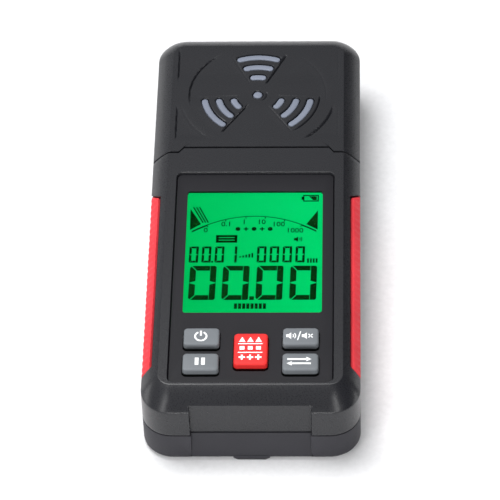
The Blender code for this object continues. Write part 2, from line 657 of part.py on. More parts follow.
def build_battery_door():
    """Sliding door: plate with side rails, an end wall that slopes in, and a finger lip."""
    low = -HALF_L
    door = block("battery_door", (-DOOR_HALF, low, Z_BACK), (DOOR_HALF, Y_DOOR_HIGH, Z_DOOR), "dark_plastic")
    rail = DOOR_HALF + DOOR_RAIL
    rail_low = low + GAP
    join(door, block("door_rails", (-rail, rail_low, Z_BACK + DOOR_RAIL_RISE),
                     (rail, Y_DOOR_HIGH - SINK, Z_BACK + DOOR_RAIL_RISE + DOOR_RAIL_THICK)))
    z_top = Z_PART - GAP / 2
    inside = low + DOOR_END_THICK
    wall = [(low, Z_BACK), (low + DOOR_RECESS, z_top), (inside, z_top), (inside, Z_BACK)]
    wall_solid = side_prism("door_end", wall, -DOOR_HALF, DOOR_HALF)
    lip = [(-LIP_TIP_WIDTH / 2, 0.0), (LIP_TIP_WIDTH / 2, 0.0), (LIP_WIDTH / 2, Z_BACK),
           (LIP_WIDTH / 2, Z_BACK + SINK), (-LIP_WIDTH / 2, Z_BACK + SINK), (-LIP_WIDTH / 2, Z_BACK)]
    bm = bmesh.new()
    ends = [[bm.verts.new((x, y, z)) for x, z in lip] for y in (low, low + LIP_THICK)]
    for i in range(len(lip)):
        j = (i + 1) % len(lip)
        bm.faces.new((ends[0][i], ends[0][j], ends[1][j], ends[1][i]))
    bm.faces.new(ends[0])
    bm.faces.new(list(reversed(ends[1])))
    join(door, wall_solid, place("door_lip", to_mesh("door_lip", bm), None))


def build_panel():
    """Face plate in the sunk panel, and the clear window let into it."""
    middle = (0.0, (Y_PANEL_HIGH + Y_PANEL_LOW) / 2)
    z_low = Z_PLATE - PLATE_THICK
    plate = slab("face_plate", middle, PANEL_WIDTH / 2 - GAP, (Y_PANEL_HIGH - Y_PANEL_LOW) / 2 - GAP,
                 PANEL_RADIUS - GAP, z_low, Z_PLATE, "panel_plastic")
    window_middle = (0.0, (Y_WINDOW_HIGH + Y_WINDOW_LOW) / 2)
    cut(plate, slab("plate_window", window_middle, WINDOW_WIDTH / 2, WINDOW_LENGTH / 2, WINDOW_RADIUS,
                    z_low - PAST, Z_PLATE + PAST))
    cut(plate, key_holes("plate_key_holes", z_low - PAST, Z_PLATE + PAST))
    slab("display_lens", window_middle, WINDOW_WIDTH / 2 - GAP, WINDOW_LENGTH / 2 - GAP, WINDOW_RADIUS - GAP,
         z_low, Z_PLATE, "clear_plastic")


def build_keys():
    """Five keys, each with a rounded top edge and a flange that holds it in the case, and their switches."""
    for label, centre, half_x, half_y, finish in key_layout():
        z_top = Z_PLATE + KEY_PROUD
        rows = []
        for z, grow in ((Z_KEY_FOOT, KEY_FLANGE), (Z_UNDER, KEY_FLANGE), (Z_UNDER, 0.0),
                        (z_top - KEY_ROUND, 0.0), (z_top, -KEY_ROUND)):
            rows.append((z - z_top, rounded_outline(half_x + grow, half_y + grow, KEY_RADIUS, 3)))
        key = loft(label + "_key", rows, finish)
        key.location = (centre[0], centre[1], z_top)
        half = SWITCH_SIDE / 2
        switch = block("switch_" + label, (centre[0] - half, centre[1] - half, Z_SWITCH),
                       (centre[0] + half, centre[1] + half, Z_SWITCH + SWITCH_HEIGHT), "black_part")
        join(switch, upright("actuator_" + label, centre[0], centre[1], ACTUATOR_RADIUS,
                             Z_SWITCH + SWITCH_HEIGHT - SINK, Z_ACTUATOR, segments=12))


def display_outline(spread):
    """Half width, lower end and upper end of the display glass, widened by spread."""
    return (WINDOW_WIDTH / 2 + GLASS_MARGIN + spread, Y_WINDOW_LOW - GLASS_FOOT - spread,
            Y_WINDOW_HIGH + GLASS_MARGIN + spread)


def build_display():
    """Display glass in its holder, the light guide behind it and the rubber contact strip to the board."""
    half_x, y_low, y_high = display_outline(0.0)
    block("lcd_glass", (-half_x, y_low, Z_GLASS - GLASS_THICK), (half_x, y_high, Z_GLASS), "display_glass")
    block("light_guide", (-half_x, Y_WINDOW_LOW, Z_GUIDE - GUIDE_THICK), (half_x, y_high, Z_GUIDE),
          "white_plastic")
    strip_high = Y_WINDOW_LOW - GAP
    block("contact_strip", (-half_x, strip_high - STRIP_WIDTH, Z_BOARD + GAP),
          (half_x, strip_high, Z_GLASS - GLASS_THICK - GAP), "insert_grey")
    inner_x, inner_low, inner_high = display_outline(GAP)
    middle = (0.0, (inner_high + inner_low) / 2)
    holder = slab("lcd_holder", middle, inner_x + HOLDER_WALL, (inner_high - inner_low) / 2 + HOLDER_WALL,
                  HOLDER_WALL, Z_BOARD + GAP, Z_UNDER, "white_plastic")
    cut(holder, block("holder_inside", (-inner_x, inner_low, Z_BOARD - PAST),
                      (inner_x, inner_high, Z_GLASS + PAST)))


def case_screw_tip():
    """Height of the case screws' tips."""
    return Z_BACK + CASE_HEAD_DEPTH + CASE_SCREW_LENGTH


def board_screw_tip():
    """Height of the board screws' tips."""
    return Z_BOARD_UNDER - GAP + SMALL_SCREW_LENGTH


def sensor_screw_tip():
    """Height of the sensor board screws' tips."""
    return Z_SENSOR_TOP + GAP - SMALL_SCREW_LENGTH


def screw(name, place_xy, z_seat, direction, sizes):
    """Screw whose head meets z_seat and whose shank runs along Z in the given direction."""
    radius, head_radius, head_height, length = sizes
    profile = [(0.0, length), (radius, length), (radius, 0.0), (head_radius, 0.0),
               (head_radius, -head_height), (0.0, -head_height)]
    rotation = (0.0, 0.0, 0.0) if direction > 0 else (pi, 0.0, 0.0)
    turned(name, profile, "steel", (place_xy[0], place_xy[1], z_seat), rotation, steps=12)


def build_screws():
    """Case screws from the back, board screws from below and sensor board screws from above."""
    case_sizes = (CASE_SCREW_RADIUS, CASE_HEAD_RADIUS, CASE_HEAD_HEIGHT, CASE_SCREW_LENGTH)
    small_sizes = (SMALL_SCREW_RADIUS, SMALL_HEAD_RADIUS, SMALL_HEAD_HEIGHT, SMALL_SCREW_LENGTH)
    for i, spot in enumerate(both_sides(CASE_SCREW_X, Y_CASE_SCREWS), 1):
        screw("case_screw_%d" % i, spot, Z_BACK + CASE_HEAD_DEPTH, 1, case_sizes)
    for i, spot in enumerate(both_sides(BOARD_SCREW_X, Y_BOARD_SCREWS), 1):
        screw("board_screw_%d" % i, spot, Z_BOARD_UNDER - GAP, 1, small_sizes)
    for i, spot in enumerate(both_sides(SENSOR_SCREW_X, (Y_TREFOIL - SENSOR_SCREW_DROP,)), 1):
        screw("sensor_screw_%d" % i, spot, Z_SENSOR_TOP + GAP, -1, small_sizes)


def build_boards():
    """Main board with its larger parts, and the sensor board joined to it by a link header."""
    board = block("main_board", (-BOARD_HALF, Y_BOARD_LOW, Z_BOARD_UNDER),
                  (BOARD_HALF, Y_BOARD_HIGH, Z_BOARD), "board")
    cut(board, bosses("board_holes", both_sides(BOARD_SCREW_X, Y_BOARD_SCREWS), SMALL_SCREW_RADIUS + GAP,
                      Z_BOARD_UNDER - PAST, Z_BOARD + PAST))
    half = SENSOR_BOARD_WIDTH / 2
    sensor = block("sensor_board", (-half, Y_SENSOR_LOW, Z_SENSOR), (half, Y_SENSOR_HIGH, Z_SENSOR_TOP),
                   "board")
    cut(sensor, bosses("sensor_holes", both_sides(SENSOR_SCREW_X, (Y_TREFOIL - SENSOR_SCREW_DROP,)),
                       SMALL_SCREW_RADIUS + GAP, Z_SENSOR - PAST, Z_SENSOR_TOP + PAST))
    y_link = Y_TREFOIL - LINK_DROP
    block("link_header", (-LINK_WIDTH / 2, y_link - LINK_DEPTH / 2, Z_SENSOR_TOP + GAP),
          (LINK_WIDTH / 2, y_link + LINK_DEPTH / 2, Z_BOARD_UNDER - GAP), "black_part")
    z_under = Z_BOARD_UNDER - GAP
    x, y = COIL_PLACE[0], Y_BOARD_HIGH - COIL_PLACE[1]
    block("step_up_coil", (x - COIL_SIZE[0] / 2, y - COIL_SIZE[1] / 2, z_under - COIL_SIZE[2]),
          (x + COIL_SIZE[0] / 2, y + COIL_SIZE[1] / 2, z_under), "black_part")
    upright("buzzer", BUZZER_PLACE[0], Y_BOARD_HIGH - BUZZER_PLACE[1], BUZZER_RADIUS,
            z_under - BUZZER_HEIGHT, z_under, "black_part", segments=20)
    upright("hv_capacitor", CAPACITOR_PLACE[0], Y_BOARD_HIGH - CAPACITOR_PLACE[1], CAPACITOR_RADIUS,
            z_under - CAPACITOR_HEIGHT, z_under, "cell_wrap")
    half = CHIP_SIDE / 2
    block("main_chip", (-half, Y_CHIP - half, z_under - CHIP_THICK), (half, Y_CHIP + half, z_under),
          "black_part")


def clip_outline():
    """Side view (y, z) of a tube clip: a ring open at the top."""
    inner = CAP_RADIUS + GAP
    steps = 12
    start, end = radians(90 + CLIP_OPENING), radians(450 - CLIP_OPENING)
    turns = [start + (end - start) * i / steps for i in range(steps + 1)]
    outer_arc = [((inner + CLIP_THICK) * cos(t), (inner + CLIP_THICK) * sin(t)) for t in turns]
    inner_arc = [(inner * cos(t), inner * sin(t)) for t in reversed(turns)]
    return [(y + Y_TREFOIL, z + Z_TUBE) for y, z in outer_arc + inner_arc]


def build_tube():
    """Counting tube across the head, capped at both ends and held in two spring clips."""
    across = (0.0, pi / 2, 0.0)
    half = TUBE_LENGTH / 2
    profile = [(0.0, half), (TUBE_RADIUS, half), (TUBE_RADIUS, -half), (0.0, -half)]
    turned("geiger_tube", profile, "tube_metal", (0.0, Y_TREFOIL, Z_TUBE), across, steps=16)
    cap = CAP_LENGTH / 2
    profile = [(0.0, cap), (CAP_RADIUS, cap), (CAP_RADIUS, -cap), (0.0, -cap)]
    for label, side in (("left", -1), ("right", 1)):
        x = side * (half + GAP + cap)
        turned("tube_cap_" + label, profile, "steel", (x, Y_TREFOIL, Z_TUBE), across, steps=16)
        side_prism("tube_clip_" + label, clip_outline(), x - CLIP_WIDTH / 2, x + CLIP_WIDTH / 2, "steel")


def cell_ends(number):
    """Lower end of a cell's body and the way its nub points; the outer two point to the head."""
    up = number != 2
    low = Y_COMPARTMENT_LOW + GAP + CONTACT_THICK + GAP
    return (low + SPRING_LENGTH + GAP, 1) if up else (low + CELL_NUB, -1)


def build_cells():
    """Three cells side by side, turned head to tail."""
    for number in (1, 2, 3):
        y_low, way = cell_ends(number)
        half = CELL_LENGTH / 2
        profile = [(0.0, half + CELL_NUB), (CELL_NUB_RADIUS, half + CELL_NUB), (CELL_NUB_RADIUS, half),
                   (CELL_RADIUS, half), (CELL_RADIUS, -half), (0.0, -half)]
        x = (number - 2) * CELL_PITCH
        turned("cell_%d" % number, profile, "cell_wrap", (x, y_low + half, Z_CELL),
               (-way * pi / 2, 0.0, 0.0), steps=16)


def build_contacts():
    """Contact plates at both ends of the cells: one single and one double plate at each end."""
    low = Y_COMPARTMENT_LOW + GAP
    high = Y_COMPARTMENT_HIGH - GAP - CONTACT_THICK
    half = CONTACT_SIDE / 2
    spans = ((-1, -1, low), (-1, 0, high), (0, 1, low), (1, 1, high))
    for number, (first, last, y) in enumerate(spans, 1):
        block("contact_plate_%d" % number, (first * CELL_PITCH - half, y, Z_CELL - half),
              (last * CELL_PITCH + half, y + CONTACT_THICK, Z_CELL + half), "steel")


def least_gap(points, wire):
    """Least distance between turns of a coil that are at least half a turn apart, less the wire."""
    apart = CURL_POINTS // 2
    pairs = [(a, b) for i, a in enumerate(points) for b in points[i + apart:]]
    return min((a - b).length for a, b in pairs) - wire


def build_springs():
    """Conical contact springs at the flat ends of the cells, each one unbroken wire."""
    run = SPRING_LENGTH - SPRING_WIRE
    count = int(SPRING_CURLS * CURL_POINTS) + 1
    for number in (1, 2, 3):
        y_low, way = cell_ends(number)
        flat_end = y_low if way > 0 else y_low + CELL_LENGTH
        base = flat_end - way * (GAP + SPRING_LENGTH - SPRING_WIRE / 2)
        points = []
        for i in range(count):
            share = i / (count - 1)
            turn = 2 * pi * SPRING_CURLS * share
            radius = SPRING_BASE_RADIUS + (SPRING_TIP_RADIUS - SPRING_BASE_RADIUS) * share
            x = (number - 2) * CELL_PITCH + radius * cos(turn)
            points.append(Vector((x, base + way * run * share, Z_CELL + radius * sin(turn))))
        curve = bpy.data.curves.new("contact_spring_%d" % number, "CURVE")
        curve.dimensions = "3D"
        curve.bevel_depth = SPRING_WIRE / 2
        curve.bevel_resolution = 1
        curve.use_fill_caps = True
        spline = curve.splines.new("POLY")
        spline.points.add(count - 1)
        for point, spot in zip(spline.points, points):
            point.co = (spot.x, spot.y, spot.z, 1.0)
        place("contact_spring_%d" % number, curve, "steel")
        gap = least_gap(points, SPRING_WIRE) / MM
        print("contact_spring_%d least gap between curls: %.2f mm" % (number, gap))


def main():
    """Build every piece of the instrument."""
    build_front_cover(build_grips())
    build_head_cover()
    build_grille_insert()
    build_back_cover()
    build_battery_door()
    build_panel()
    build_keys()
    build_display()
    build_boards()
    build_tube()
    build_cells()
    build_contacts()
    build_springs()
    build_screws()


main()
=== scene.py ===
"""Looks of a handheld geiger counter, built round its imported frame. Sizes are in millimetres in the frame's
axes: +X to the right, +Y from the keys to the sensor head, +Z out of the face."""
from math import pi, radians, sin, tan

import bpy
import numpy as np
from mathutils import Matrix, Vector


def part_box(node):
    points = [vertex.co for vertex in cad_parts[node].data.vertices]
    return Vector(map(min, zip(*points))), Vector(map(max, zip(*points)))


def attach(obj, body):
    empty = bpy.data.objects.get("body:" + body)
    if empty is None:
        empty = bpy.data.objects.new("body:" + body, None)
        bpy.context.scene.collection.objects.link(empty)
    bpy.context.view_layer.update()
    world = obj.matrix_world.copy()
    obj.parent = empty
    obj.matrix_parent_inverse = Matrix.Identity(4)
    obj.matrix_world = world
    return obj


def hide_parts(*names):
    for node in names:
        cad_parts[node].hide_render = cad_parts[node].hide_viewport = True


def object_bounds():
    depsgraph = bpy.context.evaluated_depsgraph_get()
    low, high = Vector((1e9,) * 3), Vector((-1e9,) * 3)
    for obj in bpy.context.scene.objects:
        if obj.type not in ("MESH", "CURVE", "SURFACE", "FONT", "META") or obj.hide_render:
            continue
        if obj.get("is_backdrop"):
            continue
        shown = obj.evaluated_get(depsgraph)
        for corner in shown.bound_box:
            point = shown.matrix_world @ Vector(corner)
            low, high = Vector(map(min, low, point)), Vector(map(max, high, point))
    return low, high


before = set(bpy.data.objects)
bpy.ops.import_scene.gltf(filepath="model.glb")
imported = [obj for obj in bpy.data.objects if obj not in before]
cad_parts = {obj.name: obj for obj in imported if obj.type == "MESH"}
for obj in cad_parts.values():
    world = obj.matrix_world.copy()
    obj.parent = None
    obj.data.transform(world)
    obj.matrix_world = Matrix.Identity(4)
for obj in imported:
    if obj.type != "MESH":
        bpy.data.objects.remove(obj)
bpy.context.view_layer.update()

MM = 0.001
UP = (0, 0, 1)
join = np.concatenate


def corners(name):
    """Lowest and highest corner of a CAD node, in millimetres."""
    return np.round(np.array(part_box(name)) / MM, 3)


def middle(name):
    """Middle of a CAD node's box, in millimetres."""
    return corners(name).mean(0)


# Case: outline, levels and walls
HALF_W, HALF_L = corners("back_cover")[1, :2]
Z_BACK = 0.95
Z_PART = 11.55
Z_FACE = corners("front_cover")[1, 2]
Z_PLATE = corners("face_plate")[1, 2]
Z_DISPLAY = corners("lcd_glass")[1, 2]
SIDE_INSET = 5.35
END_INSET = 7.3
END_SHARE = END_INSET / SIDE_INSET
PLAN_RADIUS = 9.5
FACE_RADIUS = 4
INNER_RADIUS = 7
WALL = 2.4
END_WALL = 3.8
CEILING_EDGE = Z_FACE - 7.3
RIM = Z_PART + 0.22
BACK_RIM = Z_PART - 0.22
RIM_ROUND = 0.2

# Slope from the face to the wall: three radii, and the two turns in degrees where they meet
SIDE_ROUNDS = (0.4, 20.4, 0.9, 35, 55)
FAR_ROUNDS = (0.8, 11.6, 0.9, 27, 63)

# Seam between head and front
Y_SEAM = 26.4
SEAM_FRONT = Y_SEAM - 0.25
SEAM_HEAD = Y_SEAM + 0.25
SEAM_ROUND = 0.15
SEAM_CORNER = 0.3
SEAM_JOG = 2.1
SEAM_IN = 23.4
SEAM_OUT = 25

# Openings of the sunk panel and the window, with the panel's rim from its foot to the face
GAP = 0.3
PANEL_HALF, PANEL_HIGH = corners("face_plate")[1, :2] + GAP
PANEL_LOW = corners("face_plate")[0, 1] - GAP
PANEL_RADIUS = 2
PANEL_RIM_OUT = np.array([0, 0, 0.05, 0.2, 0.26, 0.32, 0.36])
PANEL_RIM_UP = np.array([-1.3, -0.15, 0.02, 0.6, 0.76, 0.8, 0.8])
WINDOW_HALF, WINDOW_HIGH = corners("display_lens")[1, :2] + GAP
WINDOW_LOW = corners("display_lens")[0, 1] - GAP
WINDOW_RADIUS = 0.9

# Side grips: a band with slanted ends in a pocket
GRIP_Z_HIGH = Z_FACE - 1.75
GRIP_Z_LOW = Z_PART + 1.2
GRIP_Y_HIGH = 6.1
GRIP_Y_LOW = -65
GRIP_UPPER_SLANT = 1
GRIP_LOWER_SLANT = 0.475
GRIP_POCKET = 1.25
GRIP_THICK = 1.2
GRIP_SLACK = 0.38
GRIP_TOP_SLACK = 0.9
GRIP_RIB_PITCH = 2.63
GRIP_RIB_DEPTH = 0.19
POCKET_WALL = 0.2

# Recess in the lower end
END_RECESS_HALF = 18.5
END_RECESS = 1.7
END_RECESS_SOFT = 0.12

# Points along the outlines: lower edge, each corner, each side, seam edge; and round the seam's corners
FRONT_COUNTS = ((10, 1, 40, 1, 10), 14, (12, 1, 60, 1, 12), (8, 4, 60, 4, 8))
HEAD_COUNTS = ((110,), 24, (100,), (16, 5, 150, 5, 16))
SMALL_ARC_COUNT = 4

# Relief of the head round its trefoil of slots
Y_TREFOIL = middle("grille_insert")[1]
FIELD_HALF = 26.3
DISC_RADIUS = 22.4
CORNER_RADIUS = 25.4
BLADES = (90, 210, 330)
BLADE_HALF_ANGLE = 26.5
BLADE_RADIUS = 20.4
BOSS_RADIUS = 2.95
SLOTS = ((8.2, 11), (12.9, 17.4), (17.5, 20.2))
SLOT_HALF_WIDTH = 1.3
SLOT_DEPTH = 1.2
SLOT_SOFT = 0.25
BAR_HALF_WIDTH = 1.1
DOT_RADIUS = 1.45

# Back and battery door; the last three levels lie past the part, for cuts
BACK_ROUND = 1
Z_DOOR = Z_BACK + 2
Z_SEAT = Z_BACK + 1.4
DOOR_HALF = 18.3
RAIL_HALF, DOOR_HIGH = corners("battery_door")[1, :2]
DOOR_LEAN = 1.3
DOOR_WALL = -78.3
LIP_HALF = 5.65
LIP_TIP_HALF = 4.5
REST_HALF = 20
REST_LOW = -0.3
REST_HIGH = 61.7
SCREWS = [tuple(middle(f"case_screw_{k}")[:2]) for k in range(1, 7)]
SCREW_BOSS = 3.7
SCREW_HOLES = ((2.4, Z_BACK + 3.4), (1.35, 13))
TUB_HALF = 19.45
TUB_HIGH = -21
TUB_TOP = corners("back_cover")[1, 2]
BAY_HALF = 16.45
BAY_LOW = -75.4
BAY_HIGH = -24
BAY_TOP = 14.05
BELOW = -1
PAST_RIM = 13
PAST_END = -95

# Cells and springs
CELL_Z = middle("cell_1")[2]
CELL_LENGTH = 43.3
CELL_RADIUS = 5.25
NUB_LENGTH = 1.2
SPRING_CURLS = 3.5
SPRING_WIRE = 0.35
SPRING_WIDE = 3.6
SPRING_NARROW = 2.2
SPRING_START = 4.55
SPRING_END = 0.65

# Keys; lowest and highest level of their printed signs and of the display's marks
KEYS = ("power_key", "hold_key", "sound_key", "unit_key", "mode_key")
KEY_FLANGE = 0.6
KEY_SOFT = 0.7
Z_KEY_TOP = Z_PLATE + 1.85
PRINT = (Z_KEY_TOP - 0.1, Z_KEY_TOP + 0.05)
INK = (Z_DISPLAY - 0.02, Z_DISPLAY + 0.06)

# Camera, fitted to the photo
CAMERA_TURN = radians(-2.84)
CAMERA_RISE = radians(47.56)
CAMERA_ROLL = radians(-2.23)
CAMERA_REACH = 1035.76
CAMERA_TARGET = (-1.12, -18.57, Z_FACE)
CAMERA_LENS = 237.6


# Numbers and outlines

def step(value, low, high):
    """Smooth rise from 0 at low to 1 at high: t * t * (3 - 2 t) of the clamped share t."""
    t = np.clip((value - low) / (high - low), 0, 1)
    return t * t * (3 - 2 * t)


def hump(value, rise, full, fall, end):
    """Smooth rise from 0 to 1 between rise and full, times a fall back to 0 between fall and end."""
    return step(value, rise, full) * (1 - step(value, fall, end))


def inside(distance, soft):
    """One where a signed distance is negative, nought where it is positive, over a band soft wide."""
    return 1 - step(distance, -soft / 2, soft / 2)


def within(value, low, high):
    """True where a value lies between two others, give or take a hundredth."""
    return (value >= low - 0.01) & (value <= high + 0.01)


def beside(*arrays):
    """Arrays and numbers stretched to one shape and set side by side as a new last axis."""
    return np.stack(np.broadcast_arrays(*[np.asarray(a, float) for a in arrays]), -1)


def ray(turn):
    """Unit vectors at angles in radians: cosine and sine."""
    return beside(np.cos(turn), np.sin(turn))


def unit(vectors):
    """The same vectors, each of length 1."""
    return vectors / np.linalg.norm(vectors, axis=-1, keepdims=True)


def quarter(radius, count):
    """Rounded edge, a quarter circle in count steps: how far it draws in and stays short of its end."""
    turn = np.linspace(0, pi / 2, count)
    return radius * (1 - np.cos(turn)), radius * (1 - np.sin(turn))


def span(start, end, count):
    """Straight runs from start to end, (rings, 2) each, as (rings, count, 2) without the last point."""
    share = np.arange(count)[:, None] / count
    return start[:, None] + (end - start)[:, None] * share


def circle(count):
    """Unit circle as count points, the first one not repeated."""
    return ray(2 * pi * np.arange(count) / count)


def bend(x, y, radius, first, count):
    """Quarter circles round x, y from the angle first in degrees, count points without the last one."""
    turn = np.radians(first + 90 * np.arange(count) / count)
    return beside(x, y)[:, None] + radius[:, None, None] * ray(turn)


def knotted(counts, *knots):
    """Points spread evenly between knots of one value a ring: counts[k] from knot k on, without the last."""
    at = join([[0], np.cumsum(counts)])
    share = np.stack([np.interp(np.arange(at[-1]), at, row) for row in np.eye(len(at))], 1)
    return beside(*knots) @ share.T


def lifted(flat, z):
    """Flat rings (rings, points, 2) set at the heights z, one a ring or one a point."""
    return beside(flat[..., 0], flat[..., 1], np.reshape(z, (len(flat), -1)))


def arc_path(x, y, radius, first, last, count=24):
    """Points along a circle's arc between two angles in degrees."""
    return radius * ray(np.radians(np.linspace(first, last, count))) + (x, y)


def filleted(points, radii, steps=5):
    """A broken line with round corners: each corner becomes an arc that touches both of its sides."""
    points = np.asarray(points, float)
    share = np.linspace(0, 1, steps + 1)[:, None]
    path = [points[:1]]
    for before, corner, after, radius in zip(points, points[1:], points[2:], radii):
        a, b = unit(before - corner), unit(after - corner)
        half = np.arccos(np.clip(a @ b, -1, 1)) / 2
        hub = corner + unit(a + b) * radius / sin(half)
        start = corner + a * radius / tan(half) - hub
        end = corner + b * radius / tan(half) - hub
        path.append(hub + radius * unit(start * (1 - share) + end * share))
    return join(path + [points[-1:]])


def along(path):
    """Unit direction of a path at each of its points."""
    return unit(np.gradient(path, axis=0))


# Closed shapes, each as points and arrays of faces

def ring_quads(rows, columns, join_rows=False):
    """Quads of a grid closed along its columns, and along its rows too where join_rows is set."""
    i = np.arange(rows if join_rows else rows - 1)[:, None]
    j = np.arange(columns)[None, :]
    k = (j + 1) % columns
    below = (i + 1) % rows
    quads = np.stack([i * columns + j, below * columns + j, below * columns + k, i * columns + k], -1)
    return quads.reshape(-1, 4)


def closed_rings(rings, join_rows=False):
    """A stack of rings (rows, columns, 3), capped flat at both ends or joined end to end."""
    rows, columns = rings.shape[:2]
    faces = [ring_quads(rows, columns, join_rows)]
    if not join_rows:
        faces.append(np.arange(columns)[None, :])
        faces.append(np.arange(columns)[None, ::-1] + (rows - 1) * columns)
    return rings.reshape(-1, 3), faces


def facing_out(points, face_sets):
    """The faces, turned over where the volume they enclose, a sum of triple products, is negative."""
    volume = 0
    for faces in face_sets:
        first, second, third = points[faces[:, :1]], points[faces[:, 1:-1]], points[faces[:, 2:]]
        volume += np.sum(first * np.cross(second, third))
    return face_sets if volume > 0 else [faces[:, ::-1] for faces in face_sets]


def gathered(solids):
    """Several closed solids put together as one shape."""
    points, faces, offset = [], [], 0
    for solid_points, solid_faces in solids:
        points.append(solid_points)
        faces.extend(f + offset for f in facing_out(solid_points, solid_faces))
        offset += len(solid_points)
    return join(points), faces


def rounded_rings(half_x, half_y, radius, z, centre=(0, 0), corner=8, side=6):
    """Rings of a rectangle with round corners; half sizes, radius and height vary from ring to ring."""
    half_x, half_y, radius, z = beside(half_x, half_y, radius, z).T
    hubs = [beside(sx * (half_x - radius), sy * (half_y - radius))
            for sx, sy in ((1, 1), (-1, 1), (-1, -1), (1, -1))]
    parts = []
    for k in range(4):
        parts.append(bend(*hubs[k].T, radius, 90 * k, corner))
        away = radius[:, None] * ray(pi / 2 * (k + 1))
        parts.append(span(hubs[k] + away, hubs[(k + 1) % 4] + away, side))
    return lifted(join(parts, 1) + np.asarray(centre), z)


def slab(half_x, half_y, radius, z_foot, z_top, centre=(0, 0), edge=0, corner=8):
    """Plate with round corners from z_foot to z_top, its edge at z_top rounded where edge is set."""
    inset, z = np.zeros(2), np.array([z_foot, z_top])
    if edge:
        draw, short = quarter(edge, 5)
        inset = join([[0], draw])
        z = join([[z_foot], z_top - np.sign(z_top - z_foot) * short])
    radius = np.maximum(radius - inset, 0.05)
    return closed_rings(rounded_rings(half_x - inset, half_y - inset, radius, z, centre, corner))


def plate(half_x, y_low, y_high, radius, z_foot, z_top, **more):
    """Slab in the middle of the case's width, from y_low to y_high."""
    return slab(half_x, (y_high - y_low) / 2, radius, z_foot, z_top, (0, (y_low + y_high) / 2), **more)


def prism(flat, z):
    """Upright solid on a flat outline (points, 2): the outline at the two heights z."""
    flat = np.asarray(flat, float)
    return closed_rings(lifted(np.broadcast_to(flat, (2,) + flat.shape), z))


def block(x0, y0, x1, y1, z):
    """Upright solid on a rectangle between two corners."""
    return prism([(x0, y0), (x1, y0), (x1, y1), (x0, y1)], z)


def drum(x, y, radius, z, count=40):
    """Upright round plug: a circle at two heights."""
    return prism(radius * circle(count) + (x, y), z)


def ribbon(path, width, z):
    """Flat line of a set width along a path (points, 2): a box section between two heights, carried along."""
    run = along(path)
    across = beside(-run[:, 1], run[:, 0]) * width / 2
    section = np.stack([path + across, path - across, path - across, path + across], 1)
    return closed_rings(beside(section[..., 0], section[..., 1], np.repeat(z, 2)))


def line(start, end, width, z):
    """Straight flat bar between two points."""
    return ribbon(np.linspace(start, end, 3), width, z)


def turned(profile, axis_point, axis, steps=48):
    """Solid of revolution: (radius, way along the axis) points turned round an axis, its ends closed."""
    profile = np.asarray(profile, float)
    side = np.cross(axis, UP if abs(axis[2]) < 0.9 else (1, 0, 0))
    round_about = circle(steps) @ np.stack([side, np.cross(axis, side)])
    return closed_rings(np.asarray(axis_point) + profile[:, 1, None, None] * np.asarray(axis)
                        + profile[:, 0, None, None] * round_about[None])


def tube(path, radius, sides=10):
    """Round wire along a path (points, 3): circles square to it, one axis of each away from its middle."""
    run = along(path)
    out = path - path.mean(0)
    out = unit(out - np.sum(out * run, 1)[:, None] * run)
    axes = np.stack([out, np.cross(run, out)], 1)
    return closed_rings(path[:, None, :] + radius * circle(sides) @ axes)


def plus_outline(arm, half):
    """Outline of a plus sign: arms of a set length, each twice half wide."""
    one_arm = np.array([(half, half), (half, arm), (-half, arm)])
    turns = [((1, 0), (0, 1)), ((0, 1), (-1, 0)), ((-1, 0), (0, -1)), ((0, -1), (1, 0))]
    return join([one_arm @ np.array(turn) for turn in turns])


# Meshes and pieces

def placed(name, data):
    """A new object in the scene for a mesh, curve, light or camera."""
    obj = bpy.data.objects.new(name, data)
    bpy.context.scene.collection.objects.link(obj)
    return obj


def smoothed(mesh, sharp):
    """The mesh shaded smooth, with edges sharper than an angle in degrees kept crisp."""
    mesh.shade_smooth()
    mesh.set_sharp_from_angle(angle=radians(sharp))
    return mesh


def evaluated(obj):
    """A new mesh of an object with its modifiers or its curve worked out."""
    return bpy.data.meshes.new_from_object(obj.evaluated_get(bpy.context.evaluated_depsgraph_get()))


def to_mesh(shape, sharp=40):
    """A mesh from points in millimetres and arrays of faces, its faces looking out."""
    points, face_sets = shape
    face_sets = facing_out(points, face_sets)
    loops = join([faces.ravel() for faces in face_sets]).astype(np.int32)
    sizes = join([np.full(len(faces), faces.shape[1]) for faces in face_sets])
    starts = join([[0], np.cumsum(sizes)[:-1]]).astype(np.int32)
    mesh = bpy.data.meshes.new("shape")
    mesh.vertices.add(len(points))
    mesh.vertices.foreach_set("co", (points * MM).astype(np.float32).ravel())
    mesh.loops.add(len(loops))
    mesh.polygons.add(len(sizes))
    mesh.polygons.foreach_set("loop_start", starts)
    mesh.polygons.foreach_set("vertices", loops)
    mesh.update(calc_edges=True)
    mesh.validate()
    return smoothed(mesh, sharp)


def carved(base, steps, sharp=35):
    """A mesh of a shape after groups of joins and cuts with other closed shapes, one after another."""
    target = placed("target", to_mesh(base))
    made = [target]
    for operation, shapes in steps:
        for shape in shapes:
            made.append(placed("tool", to_mesh(shape)))
            change = target.modifiers.new("change", "BOOLEAN")
            change.operation = operation
            change.object = made[-1]
            change.solver = "EXACT"
    mesh = evaluated(target)
    for obj in made:
        bpy.data.objects.remove(obj)
    mesh.materials.clear()
    return smoothed(mesh, sharp)


